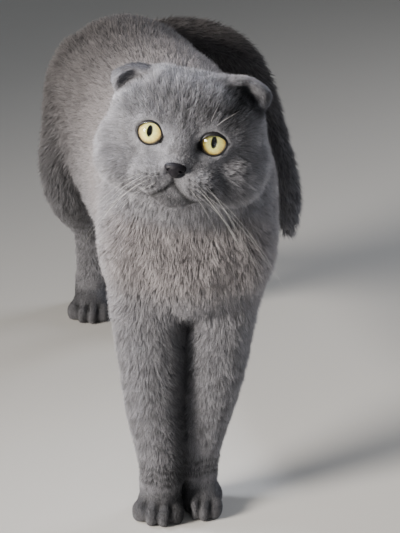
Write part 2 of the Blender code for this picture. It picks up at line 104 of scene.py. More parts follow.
def waves(values, gap):  # 1 on each crest, 0 between two
    return 0.5 + 0.5 * np.cos(2 * np.pi * values / gap)


def distance(points, middle, half=1):  # from a middle, or in half sizes of an ellipsoid
    return np.linalg.norm((points - np.array(middle)) / half, axis=1)


def patch(x, z, middle, half):  # a soft spot, 1 at its middle
    return np.exp(-(((x - middle[0]) / half[0]) ** 2) - ((z - middle[1]) / half[1]) ** 2)


def inFrame(points, matrix):  # world points in a frame's own axes, in mm
    turn = np.array(matrix.to_3x3())
    return (np.asarray(points) - np.array(matrix.translation)) @ turn / mm


def toWorld(points, matrix):
    turn = np.array(matrix.to_3x3())
    return np.asarray(points) * mm @ turn.T + np.array(matrix.translation)


def unit(vectors):
    return vectors / np.maximum(np.linalg.norm(vectors, axis=1, keepdims=True), 1e-9)


def startsWith(labels, *names):
    return np.any([np.char.startswith(labels, name) for name in names], axis=0)


def meshPoints(mesh):
    points = np.empty(len(mesh.vertices) * 3)
    mesh.vertices.foreach_get("co", points)
    return points.reshape(-1, 3)


def meshNormals(mesh):
    normals = np.empty(len(mesh.vertices) * 3)
    mesh.vertex_normals.foreach_get("vector", normals)
    return normals.reshape(-1, 3)


def setPoints(mesh, points):
    mesh.vertices.foreach_set("co", np.asarray(points, np.float32).ravel())
    mesh.update()


def storeValues(mesh, name, values):
    kind, key = ("FLOAT_VECTOR", "vector") if values.ndim == 2 else ("FLOAT", "value")
    attribute = mesh.attributes.get(name) or mesh.attributes.new(name, kind, "POINT")
    attribute.data.foreach_set(key, np.asarray(values, np.float32).ravel())


def readValues(mesh, name, width=1):
    data = mesh.attributes[name].data
    values = np.empty(len(data) * width, np.float32)
    data.foreach_get("vector" if width == 3 else "value", values)
    return values.reshape(-1, width) if width > 1 else values


def dropValues(mesh, *names):  # what only the planting of the coat needed
    for name in [a.name for a in mesh.attributes]:
        if name in names or name.startswith("coat_"):
            mesh.attributes.remove(mesh.attributes[name])


def linkedObject(name, data):
    obj = bpy.data.objects.new(name, data)
    scene.collection.objects.link(obj)
    return obj


def newPiece(name, mesh, material=None):
    if material:
        mesh.materials.clear()
        mesh.materials.append(material)
    pieces[name] = linkedObject(name, mesh)
    return pieces[name]


def plainMesh(obj):  # what the modifiers make, as a mesh of its own
    graph = bpy.context.evaluated_depsgraph_get()
    return bpy.data.meshes.new_from_object(obj.evaluated_get(graph))


def finalMesh(obj):  # the same, and the helper object goes with its modifiers
    mesh = plainMesh(obj)
    bpy.data.objects.remove(obj)
    return mesh


def meshOf(bm, name):
    mesh = bpy.data.meshes.new(name)
    bm.to_mesh(mesh)
    bm.free()
    return mesh


def weldedCopy(mesh, reach=1e-6):
    bm = bmesh.new()
    bm.from_mesh(mesh)
    bmesh.ops.remove_doubles(bm, verts=bm.verts, dist=reach)
    bm.normal_update()
    return bm


def meshFromRings(name, rings, caps=True):  # closed loops of points joined one after another
    bm = bmesh.new()
    made = [[bm.verts.new(p) for p in ring] for ring in rings]
    for first, second in zip(made, made[1:]):
        count = len(first)
        for k in range(count):
            n = (k + 1) % count
            bm.faces.new((first[k], first[n], second[n], second[k]))
    if caps:
        bm.faces.new(reversed(made[0]))
        bm.faces.new(made[-1])
    bmesh.ops.recalc_face_normals(bm, faces=bm.faces)
    mesh = meshOf(bm, name)
    mesh.shade_smooth()
    return mesh


def anglesRound(count):
    return np.linspace(0, 2 * np.pi, count, endpoint=False)


def newTree(name, inputs, output):  # a Geometry Nodes tree with named inputs
    tree = bpy.data.node_groups.new(name, "GeometryNodeTree")
    for key, kind in inputs.items():
        tree.interface.new_socket(key, in_out="INPUT", socket_type="NodeSocket" + kind)
    tree.interface.new_socket(output, in_out="OUTPUT", socket_type="NodeSocketGeometry")
    return tree, addNode(tree, "NodeGroupInput").outputs


def grown(mesh, tree, values):  # the tree run on a mesh; its inputs are set first, by identifier
    obj = linkedObject("grower", mesh)
    modifier = obj.modifiers.new("tree", "NODES")
    modifier.node_group = tree
    found = {s.name: s.identifier for s in tree.interface.items_tree if s.in_out == "INPUT"}
    for name, value in values.items():
        modifier[found[name]] = value
    return finalMesh(obj)


# Frames of the head and the eyes

headPose = {
    "yaw": -6.0,
    "roll": 6.5,
    "pitchUp": 10.0,
    "eyesAhead": 36.5,
    "eyeTurnOut": 8,
    "eyeTurnUp": 3,
    "gaze": {"left": (2, -8), "right": (0, -8)},  # degrees to the side and up from the opening's middle
}


def boxMiddle(name):
    low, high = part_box(name)
    return (low + high) / 2


def betweenEyes():
    return (boxMiddle("eye_left") + boxMiddle("eye_right")) / 2


def turned(degrees, axis):
    return Matrix.Rotation(math.radians(degrees), 4, axis)


def headFrame():
    turn = turned(headPose["yaw"], "Z") @ turned(headPose["roll"], "Y") @ turned(-headPose["pitchUp"], "X")
    origin = betweenEyes() - turn.to_3x3() @ Vector((0, -headPose["eyesAhead"] * mm, 0))
    return Matrix.Translation(origin) @ turn


headMatrix = headFrame()
headTurn = np.array(headMatrix.to_3x3())


def eyeFrame(side):  # it looks along -Y
    turn = turned(sideSigns[side] * headPose["eyeTurnOut"], "Z") @ turned(-headPose["eyeTurnUp"], "X")
    return Matrix.Translation(boxMiddle("eye_" + side)) @ headMatrix.to_3x3().to_4x4() @ turn


def gazeFrame(side):
    across, up = headPose["gaze"][side]
    return eyeMatrices[side] @ turned(across, "Z") @ turned(up, "X")


eyeMatrices = {side: eyeFrame(side) for side in sideSigns}
gazeMatrices = {side: gazeFrame(side) for side in sideSigns}

# Paws and the grooves between their toes

pawPlan = {  # middle of each paw (x, y) and half its width in mm, and its turn in degrees
    "forepaw_right": (1.3, -155.3, 19.5, -4),
    "forepaw_left": (30.8, -146.3, 16.5, -9),
    "hindpaw_right": (-64.2, 150.7, 18, -6),
    "hindpaw_left": (-13.2, 128.7, 18, 6),
}
toePlan = {
    "grooves": (-0.46, 0, 0.46),  # places across the paw, as shares of half its width
    "grooveWidth": 1.7,
    "ahead": (7, 13, 28, 32),  # mm ahead of the paw's middle where a groove starts and ends
    "heights": (0.019, 0.013),
}


def toeGaps(points):  # 1 in the grooves between the toes, 0 away from them
    found = np.zeros(len(points))
    for x, y, half, turn in pawPlan.values():
        a = math.radians(turn)
        off = points[:, :2] / mm - (x, y)
        across = off[:, 0] * math.cos(a) + off[:, 1] * math.sin(a)
        ahead = off[:, 0] * math.sin(a) - off[:, 1] * math.cos(a)
        near = window(ahead, *toePlan["ahead"]) * smoothStep(points[:, 2], *toePlan["heights"])
        for place in toePlan["grooves"]:
            groove = np.exp(-(((across - place * half) / toePlan["grooveWidth"]) ** 2))
            found = np.maximum(found, near * groove)
    return found


# Camera: it looks down on the cat from the front, a little turned

cameraPlan = {
    "fromEyes": (13.4, -1262.7, 501.7),
    "pitchDown": 25.0,
    "roll": 2.0,
    "lens": 150,
    "sensor": 36,
    "clip": (0.05, 50),
}


def addCamera():
    data = bpy.data.cameras.new("photoCamera")
    data.sensor_width = cameraPlan["sensor"]
    data.lens = cameraPlan["lens"]
    data.clip_start, data.clip_end = cameraPlan["clip"]
    camera = linkedObject("photoCamera", data)
    place = Matrix.Translation(betweenEyes() + Vector(cameraPlan["fromEyes"]) * mm)
    aim = turned(90 - cameraPlan["pitchDown"], "X") @ turned(cameraPlan["roll"], "Z")
    camera.matrix_world = place @ aim
    scene.camera = camera


addCamera()
report("camera placed")

# Shape of the eye's opening and the line of the mouth, as the solids have them

faceLines = {
    "eyeRadius": 10.5,
    "eyeOpening": (7.9, 7.6),  # half its width and height
    "eyeCorners": ((-0.93, -0.37, 0.2), (0.97, 0.24, 0.08)),  # which way a corner points, and its size
    "mouth": ((0, -20.5), (0, -25.5), (4.5, -30.5), (9.5, -35), (13.5, -39.5)),
    "noseTip": (0, -56, -16),
}
outOfReach = 40  # mm, given to points that an opening or a line doesn't concern


def openingEdge(angle, side):
    across, upright = np.cos(angle) * sideSigns[side], np.sin(angle)
    wide, high = faceLines["eyeOpening"]
    edge = 1 / np.hypot(across / wide, upright / high)
    corners = sum(size * np.maximum(0, across * a + upright * b) ** 12
                  for a, b, size in faceLines["eyeCorners"])
    return edge * (1 + corners)


def outOfOpening(points, side):  # mm outside the edge of the opening, and the place in the eye's frame
    local = inFrame(points, eyeMatrices[side])
    x, y, z = local.T
    away = np.hypot(x, z) - openingEdge(np.arctan2(z, x), side)
    return np.where(y < 0, away, outOfReach), local


def polylineGap(points, line):  # least distance to a line of points
    line = np.asarray(line, float)
    best = np.full(len(points), 1e9)
    for a, b in zip(line, line[1:]):
        t = np.clip((points - a) @ (b - a) / ((b - a) @ (b - a)), 0, 1)
        best = np.minimum(best, np.linalg.norm(points - a - t[:, None] * (b - a), axis=1))
    return best


def mouthGap(local):  # mm from the line of the mouth, seen from the front of the head
    front = local[:, [0, 2]]
    gap = polylineGap(front, faceLines["mouth"][:3])
    for sign in (1, -1):
        gap = np.minimum(gap, polylineGap(front, [(sign * x, z) for x, z in faceLines["mouth"][1:]]))
    return np.where(local[:, 1] < -25, gap, outOfReach)


# Skin: the solids of flesh made one surface, then sunk by the depth of the coat

skinPlan = {
    "voxel": 1.5,
    "seamCover": 0.3,
    "socketCover": 0.45,
    "slimForelegs": 1.4,  # they nearly touch, so they are parted before they are fused
    "slimHeights": (0.146, 0.138),
    "smoothing": 6,
    "mostFaces": 190000,
    "eyeBed": 4.2,  # how far from the eye's middle the skin lies behind the iris
    "edgeReach": 0.85,
    "edgeRise": 0.25,
    "nose": ((0, -54, -17.7), (7.2, 8, 5.0)),  # middle and half sizes of what the leather covers
    "noseBed": 3.0,
    "lipCrease": 1.1,
    "toeGap": 1.3,
    "betweenRise": 0.5,  # where the forelegs face each other their fur meets
    "betweenLength": 1.0,
    "smoothParts": ("neck", "chest", "abdomen", "foreleg_upper"),
    "bodySmoothing": 30,
    "earSmoothing": 30,
    "earMiddles": {"left": (34, -5, 28), "right": (-36.8, -5, 24.6)},
    "earReach": (27, 20),  # mm from an ear's middle, and behind it, where its join is evened
    "earBehind": (-6, 2),
    "tailRoot": (-0.026, -0.004, 0.007),  # from the inner face of the tail's first length
    "tailRootSinking": 0.7,
    "tailRootReach": (50, 28),  # mm from the root over which the sinking changes
    "tailRootSmoothing": 120,
    "tailJoinReach": (42, 24),
    "soleHeights": (0.006, 0.002),  # heights in m below which the soles aren't sunk
    "headReach": 90,
    "hollowShadeDepths": (0.1, 0.9),  # mm deep, from a slight one to a full one, for the painted shade in hollows
}
fleshNodes = sorted(n for n in nodes if not n.startswith(("eye", "nose")))


def joinedFlesh():
    whole = bmesh.new()
    for name in [*fleshNodes, "eye_left", "eye_right", "nose"]:
        bm = weldedCopy(nodes[name].data)
        cover = skinPlan["seamCover"] if name in fleshNodes else skinPlan["socketCover"]
        for v in bm.verts:
            step = v.normal * cover
            if name.startswith("fore"):
                flat = Vector((v.normal.x, v.normal.y, 0))
                low = float(smoothStep(v.co.z, *skinPlan["slimHeights"]))
                step -= flat / max(flat.length, 0.5) * skinPlan["slimForelegs"] * low
            v.co += step * mm
        mesh = meshOf(bm, name + "Copy")
        whole.from_mesh(mesh)
        bpy.data.meshes.remove(mesh)
    return meshOf(whole, "flesh")


def fusedMesh(mesh):
    obj = linkedObject("fusing", mesh)
    remesh = obj.modifiers.new("fuse", "REMESH")
    remesh.mode = "VOXEL"
    remesh.voxel_size = skinPlan["voxel"] * mm
    even = obj.modifiers.new("even", "SMOOTH")
    even.factor = 0.5
    even.iterations = skinPlan["smoothing"]
    count = 2 * len(plainMesh(obj).polygons)
    fewer = obj.modifiers.new("fewer", "DECIMATE")
    fewer.ratio = min(1, skinPlan["mostFaces"] / count)
    return finalMesh(obj)


class Neighbours:  # means over the points that share an edge
    def __init__(self, mesh):
        self.count = len(mesh.vertices)
        edges = np.empty(len(mesh.edges) * 2, np.int32)
        mesh.edges.foreach_get("vertices", edges)
        ends = edges.reshape(-1, 2)
        self.here = np.concatenate([ends[:, 0], ends[:, 1]])
        self.there = np.concatenate([ends[:, 1], ends[:, 0]])
        self.degree = np.maximum(np.bincount(self.here, minlength=self.count), 1)

    def mean(self, values):
        if values.ndim == 1:
            return np.bincount(self.here, values[self.there], self.count) / self.degree
        return np.stack([self.mean(values[:, k]) for k in range(values.shape[1])], axis=1)

    def smooth(self, values, times):
        for _ in range(times):
            values = values * 0.5 + self.mean(values) * 0.5
        return values

    def ease(self, values, times, share):  # smoothed as far as each point's share says
        share = np.reshape(share, (-1, 1))
        return values * (1 - share) + self.smooth(values, times) * share


# Coat by region: mean length in mm, how far it stands (0 lies flat), how far the tips gather in clumps,
# and the way it lies (x out, y to the back, z up). The head and the tail have their own ways.
coatPlan = {
    "head": (6, 0.85, 0.35, None),
    "ear": (4.2, 0.5, 0.3, None),
    "neck": (8.5, 1.1, 0.35, (0, 0.35, -1)),
    "chest": (7.8, 1.15, 0.4, (0, 0.45, -1)),
    "abdomen": (8.5, 0.75, 0.35, (0, 1, -0.45)),
    "rump": (9, 0.75, 0.35, (0, 1, -0.4)),
    "thigh": (8, 0.7, 0.3, (0, 0.55, -1)),
    "tail": (9.5, 0.8, 0.3, None),
    "foreleg_upper": (6, 0.75, 0.3, (0, 0.2, -1)),
    "foreleg_lower": (4.2, 0.7, 0.25, (0, 0.12, -1)),
    "hindleg_lower": (4.6, 0.6, 0.25, (0, 0.3, -1)),
    "forepaw": (2.2, 0.35, 0.05, (0, -1, -0.8)),
    "hindpaw": (2.2, 0.35, 0.05, (0, -1, -0.8)),
}
standing, drooping = 1.25, 0.2  # how a lock's rise and droop set the height of its tip
mostRise, leastDepth = 1.15, 0.06  # limits to what the skin is sunk by
facePlan = {
    "lengthFromNose": ((8, 1.2), (16, 2.0), (30, 3.2), (50, 4.6), (70, 5.6)),
    "cheekExtra": 2.6,
    "cheekAcross": (26, 46),  # where the longer coat of the cheeks starts and where it is full
    "cheekDown": (10, -10),
    "lengthFromEye": (0.3, 1, 12),  # share by the opening, and over which mm from it that grows
    "riseFromEye": (0.5, 1, 9),
    "lipLength": 1.2,
    "lipReach": (5, 1),
    "droopAcross": (22, 44),  # where the locks of the cheeks turn down, and how much
    "droopDown": (22, 2),
    "droopShare": 0.45,
    "earWay": (0.55, -0.75, -0.45),  # out, back and up
}
bodyPlan = {
    "lengthFromSole": (0.45, 0.003, 0.012),  # share at the sole, and over which heights in m that grows
    "tailReach": (62, 24),  # mm from its root over which the rump's coat turns to the tail's lie
    "tailBlend": 0.012,  # how softly one length of the tail passes into the next, in m
    "legsFace": (0.3, 0.8),  # how far a foreleg's surface faces the other one, and the heights in m
    "legsHeights": (0.15, 0.13),
    "evening": 14,  # rounds of smoothing over the borders of the regions
    "wayEvening": (16, 4),
}
tailRoot = np.array([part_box("tail_base")[0].x, *boxMiddle("tail_base")[1:]]) + skinPlan["tailRoot"]


def nearestNode(points):
    owners, spots = [], []
    for name in fleshNodes:
        found = meshPoints(nodes[name].data)
        spots.append(found)
        owners += [name] * len(found)
    tree = KDTree(len(owners))
    for i, spot in enumerate(np.concatenate(spots)):
        tree.insert(spot, i)
    tree.balance()
    return np.array([owners[tree.find(p)[1]] for p in points])


def tailWay(points):  # along the tail, from where it leaves the rump to its tip
    low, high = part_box("tail_tip")
    middles = [boxMiddle(name) for name in ("tail_base", "tail_middle", "tail_tip")]
    stops = np.array([list(s) for s in (Vector(tailRoot), *middles, Vector((high.x, low.y, low.z)))])
    way = np.zeros_like(points)
    for a, b in zip(stops, stops[1:]):
        near = np.exp(-(polylineGap(points, (a, b)) / bodyPlan["tailBlend"]) ** 2) + 1e-9
        way += unit((b - a)[None, :]) * near[:, None]
    return unit(way)


def headWay(local, labels):  # out from the nose over the face, down the cheeks and back over the crown
    way = unit(local - np.array(faceLines["noseTip"]))
    cheek = smoothStep(np.abs(local[:, 0]), *facePlan["droopAcross"])
    way[:, 2] -= facePlan["droopShare"] * cheek * smoothStep(local[:, 2], *facePlan["droopDown"])
    onEar = np.tile(facePlan["earWay"], (len(local), 1))
    onEar[:, 0] *= np.sign(local[:, 0])
    ears = startsWith(labels, "ear")
    way[ears] = onEar[ears]
    return unit(way) @ headTurn.T


def coatFields(mesh):
    points, normals = meshPoints(mesh), meshNormals(mesh)
    labels = nearestNode(points)
    local = inFrame(points, headMatrix)
    around = Neighbours(mesh)
    length, rise, clump = (np.zeros(len(points)) for _ in range(3))
    way = np.zeros_like(points)
    for region, (long, stand, gather, lie) in coatPlan.items():
        here = startsWith(labels, region)
        length[here], rise[here], clump[here] = long, stand, gather
        if lie:
            way[here] = lie
    skull, onTail = startsWith(labels, "head"), startsWith(labels, "tail")
    onHead = skull | startsWith(labels, "ear")
    way[onHead] = headWay(local[onHead], labels[onHead])
    way[onTail] = tailWay(points[onTail])
    toTail = (smoothStep(distance(points, tailRoot) / mm, *bodyPlan["tailReach"]) * ~onTail)[:, None]
    way = unit(way) * (1 - toTail) + tailWay(points) * toTail
    face = np.interp(distance(local, faceLines["noseTip"]), *zip(*facePlan["lengthFromNose"]))
    cheek = smoothStep(np.abs(local[:, 0]), *facePlan["cheekAcross"])
    cheek = cheek * smoothStep(local[:, 2], *facePlan["cheekDown"])
    face += facePlan["cheekExtra"] * cheek
    length[skull] = face[skull]
    length, rise, clump = (around.smooth(v, bodyPlan["evening"]) for v in (length, rise, clump))
    openings = np.minimum(*(outOfOpening(points, side)[0] for side in sideSigns))
    length *= growing(openings, *facePlan["lengthFromEye"])
    rise *= growing(openings, *facePlan["riseFromEye"])
    lips = smoothStep(mouthGap(local), *facePlan["lipReach"])
    length = length * (1 - lips) + facePlan["lipLength"] * lips
    length *= growing(points[:, 2], *bodyPlan["lengthFromSole"])
    inward = np.where(np.char.endswith(labels, "left"), -1, 1)
    between = startsWith(labels, "foreleg") * smoothStep(inward * normals[:, 0], *bodyPlan["legsFace"])
    between = around.smooth(between * smoothStep(points[:, 2], *bodyPlan["legsHeights"]), 4)
    sunk = length.copy()
    rise += between * skinPlan["betweenRise"]
    length += between * skinPlan["betweenLength"]
    first, last = bodyPlan["wayEvening"]
    way = around.smooth(unit(way), first)
    way -= normals * np.sum(way * normals, axis=1, keepdims=True)
    way = unit(around.smooth(way, last))
    return {"length": length, "rise": rise, "clump": clump, "way": way}, labels, sunk


def coatDepth(points, normals, root, rise, labels, sunk, around):  # mm from the coat's tips to the skin
    stand = standing * np.minimum(rise, mostRise)
    depth = sunk * np.maximum(stand / np.hypot(1, stand) - drooping, leastDepth)
    done = np.where(startsWith(labels, "fore"), skinPlan["slimForelegs"], 0)
    done = around.smooth(done * smoothStep(points[:, 2], *skinPlan["slimHeights"]), 6)
    depth = np.maximum(depth - done, 0)
    depth *= 1 - (1 - skinPlan["tailRootSinking"]) * smoothStep(root, *skinPlan["tailRootReach"])
    sole = smoothStep(-normals[:, 2], 0.3, 0.8) * smoothStep(points[:, 2], *skinPlan["soleHeights"])
    return depth * (1 - sole)


def easedJoins(points, labels, root, around):  # an even body, and the tail and ears grow out smoothly
    body = around.smooth(startsWith(labels, *skinPlan["smoothParts"]).astype(float), 8)
    points = around.ease(points, skinPlan["bodySmoothing"], body)
    local = inFrame(points, headMatrix)
    tail = around.smooth(smoothStep(root, *skinPlan["tailJoinReach"]), 4)
    points = around.ease(points, skinPlan["tailRootSmoothing"], tail)
    ears = np.zeros(len(points))
    for middle in skinPlan["earMiddles"].values():
        behind = smoothStep(local[:, 1] - middle[1], *skinPlan["earBehind"])
        ears += smoothStep(distance(local, middle), *skinPlan["earReach"]) * behind
    return around.ease(points, skinPlan["earSmoothing"], around.smooth(ears, 4))


def seatedEye(points, side):  # an even edge round the opening, and a bed for the eyeball behind its iris
    away, local = outOfOpening(points, side)
    edge = (np.abs(away) < skinPlan["edgeReach"]) & (local[:, 1] < -2)
    reach = np.hypot(local[:, 0], local[:, 2])
    share = np.where(edge, 1 - away / np.maximum(reach, 1e-6), 1)
    local[:, 0] *= share
    local[:, 2] *= share
    radius = faceLines["eyeRadius"] + skinPlan["edgeRise"]
    onBall = np.sqrt(np.maximum(radius**2 - (reach - away) ** 2, 0))
    local[:, 1] = np.where(edge, -onBall, local[:, 1])
    inside = ((away < 0) & ~edge & (local[:, 1] < -2)).astype(float)
    points = np.where(edge[:, None], toWorld(local, eyeMatrices[side]), points)
    far = np.linalg.norm(local, axis=1)
    excess = np.clip((far - skinPlan["eyeBed"]) / np.maximum(far, 1e-6), 0, 1)
    moved = toWorld(local * (1 - inside * excess)[:, None], eyeMatrices[side])
    return np.where(inside[:, None] > 0, moved, points)


def buildSkin():
    mesh = fusedMesh(joinedFlesh())
    around = Neighbours(mesh)
    fields, labels, sunk = coatFields(mesh)
    points = meshPoints(mesh)
    normals = unit(around.smooth(meshNormals(mesh), 6))
    root = distance(points, tailRoot) / mm
    depth = coatDepth(points, normals, root, fields["rise"], labels, sunk, around)
    points -= normals * depth[:, None] * mm
    points = easedJoins(around.ease(points, 2, 0.5), labels, root, around)
    for side in sideSigns:
        points = seatedEye(points, side)
    local = inFrame(points, headMatrix)
    local[:, 1] += skinPlan["noseBed"] * smoothStep(distance(local, *skinPlan["nose"]), 1.05, 0.7)
    local[:, 1] += skinPlan["lipCrease"] * smoothStep(mouthGap(local), 2.0, 0.2)
    inReach = np.linalg.norm(local, axis=1)[:, None] < skinPlan["headReach"]
    points = np.where(inReach, toWorld(local, headMatrix), points)
    points -= normals * toeGaps(points)[:, None] * skinPlan["toeGap"] * mm
    points[:, 2] = np.maximum(points[:, 2], floorGap)
    setPoints(mesh, points)
    for name, values in fields.items():
        storeValues(mesh, name, values)
    # painted shade in the skin's hollows, over the front of the head and low on the body
    hollowShade = np.sum((around.smooth(points, 10) - points) * unit(around.smooth(normals, 4)), axis=1) / mm
    ahead = smoothStep(inFrame(points, headMatrix)[:, 1], 5, -15) + smoothStep(points[:, 2], 0.16, 0.14)
    hollowShade = smoothStep(hollowShade, *skinPlan["hollowShadeDepths"]) * np.minimum(ahead, 1)
    storeValues(mesh, "hollowShade", around.smooth(hollowShade, 1))
    return mesh, labels


skinMesh, skinLabels = buildSkin()
report(f"skin has {len(skinMesh.polygons)} faces")

# Markings and painted shade of the skin and the coat, worked out from a point's place

marksAndShadePlan = {
    "hollowShadeStrength": 0.5,  # painted shade in hollows: between the toes, round the eyes and where legs meet
    "pawDark": 0.5,
    "pawHeights": (0.030, 0.014),
    "stripeDark": 0.26,
    "stripeGap": 8.5,
    "bandDark": 0.34,
    "bandGap": 11.0,
    # painted shade in soft folds of the chest's fur
    "foldShade": 0.2,
    "foldGap": 9.0,
    "creases": (30, 34.5, 39.5),  # painted shade in thin wrinkles over the wrist: heights in mm
    "creaseShade": 0.95,
    # painted shade in the crease along the mouth
    "mouthCreaseShade": 0.65,
    # painted shade over the back, hips and tail
    "backShade": 0.6,
    "breastLight": 0.22,
    "bridgeLight": 0.08,
    "padLight": 0.2,
    "faceTufts": 0.3,  # how much small tufts differ in lightness
    "bodyTufts": 0.17,
    # painted shade in the grooves between the toes
    "toeGapShade": 0.35,
    "innerLegShade": 0.72,  # painted shade on the sides of the forelegs that face each other, about the line between them
    "legGap": ((0, 16.7), (0.06, 14.8), (0.12, 14.6)),
    "temple": ((31, 19), (9, 8)),
    "templeDark": (0.82, 0.3),  # the cat's left and right: thin coat on the temples, with deeper painted shade on the left one
    # darker patches of the face, markings on the brow and painted shade elsewhere: middle (x, z) and half
    # size in mm, and how dark
    "faceMarksAndShade": (
        # markings: the streak and stripes of the brow
        ((0.5, 13), (1.5, 6), 0.6),
        ((-12, 23), (2, 5), 0.4),
        ((-5, 17), (1.5, 6), 0.3),
        ((6, 20), (1.6, 5), 0.35),
        # painted shade: over the cat's left brow, in the groove under the nose, beside the bridge, under
        # the chin with its darker fur, at the mouth's corners and under the left cheek
        ((13, 16), (3.5, 6), 0.6),
        ((24, 17), (7, 7), 0.65),
        ((0.2, -26), (1.3, 3.2), 0.6),
        ((5.5, -7), (3, 8), 0.35),
        ((0, -37), (12, 6), 0.5),
        ((14, -39), (5, 4), 0.3),
        ((-14, -39), (5, 4), 0.3),
        ((32, -32), (10, 8), 0.25),
    ),
    "legDark": -0.04,
    # dark inner corners of the eyes; the cat's left one is deepened with painted shade
    "cornerDark": {"left": 0.85, "right": 0.5},
    "spotDark": 0.85,
    "spotRadius": 1.5,
    "earLightAndShade": {"left": -0.45, "right": 0.85},  # painted light over the fold of the cat's right ear, painted shade over the left one's
    # the darker inside of each cup, deepened by painted shade
    "earDark": {"left": 0.6, "right": 0.3},
    "shadeLimits": (0.12, 1.6),
    # the browner back and rump go partly with their painted shade
    "backWarmth": 0.8,
    "breastWarmth": 0.7,
}
padPlan = {
    "rows": (4, 5, 5, 4),  # how many whiskers there are roots for
    "first": (9.5, -21.5),  # place (x, z) in mm, and the steps from one to the next
    "step": (3.3, -0.45),
    "rowStep": (0.6, -2.7),
}


def whiskerRoots(side):  # in the head's frame
    first, step, rowStep = padPlan["first"], padPlan["step"], padPlan["rowStep"]
    found = []
    for row, count in enumerate(padPlan["rows"]):
        for k in range(count):
            across = first[0] + step[0] * k + rowStep[0] * row
            found.append((sideSigns[side] * across, first[1] + rowStep[1] * row + step[1] * k))
    return found


def clouds(places):  # smooth random values from -1 to 1, alike in cells 1 wide, the same at each run
    low = np.floor(places).astype(np.int64)
    part = places - low
    part = part * part * (3 - 2 * part)
    total = np.zeros(len(places))
    for corner in itertools.product((0, 1), repeat=3):
        key = (low + corner) @ np.array([73856093, 19349663, 83492791])
        key = ((key ^ (key >> 13)) * 1274126177) & 0x7FFFFFFF
        total += (key >> 8 & 0xFFFF) / 32767.5 * np.prod(np.where(corner, part, 1 - part), axis=1)
    return total - 1


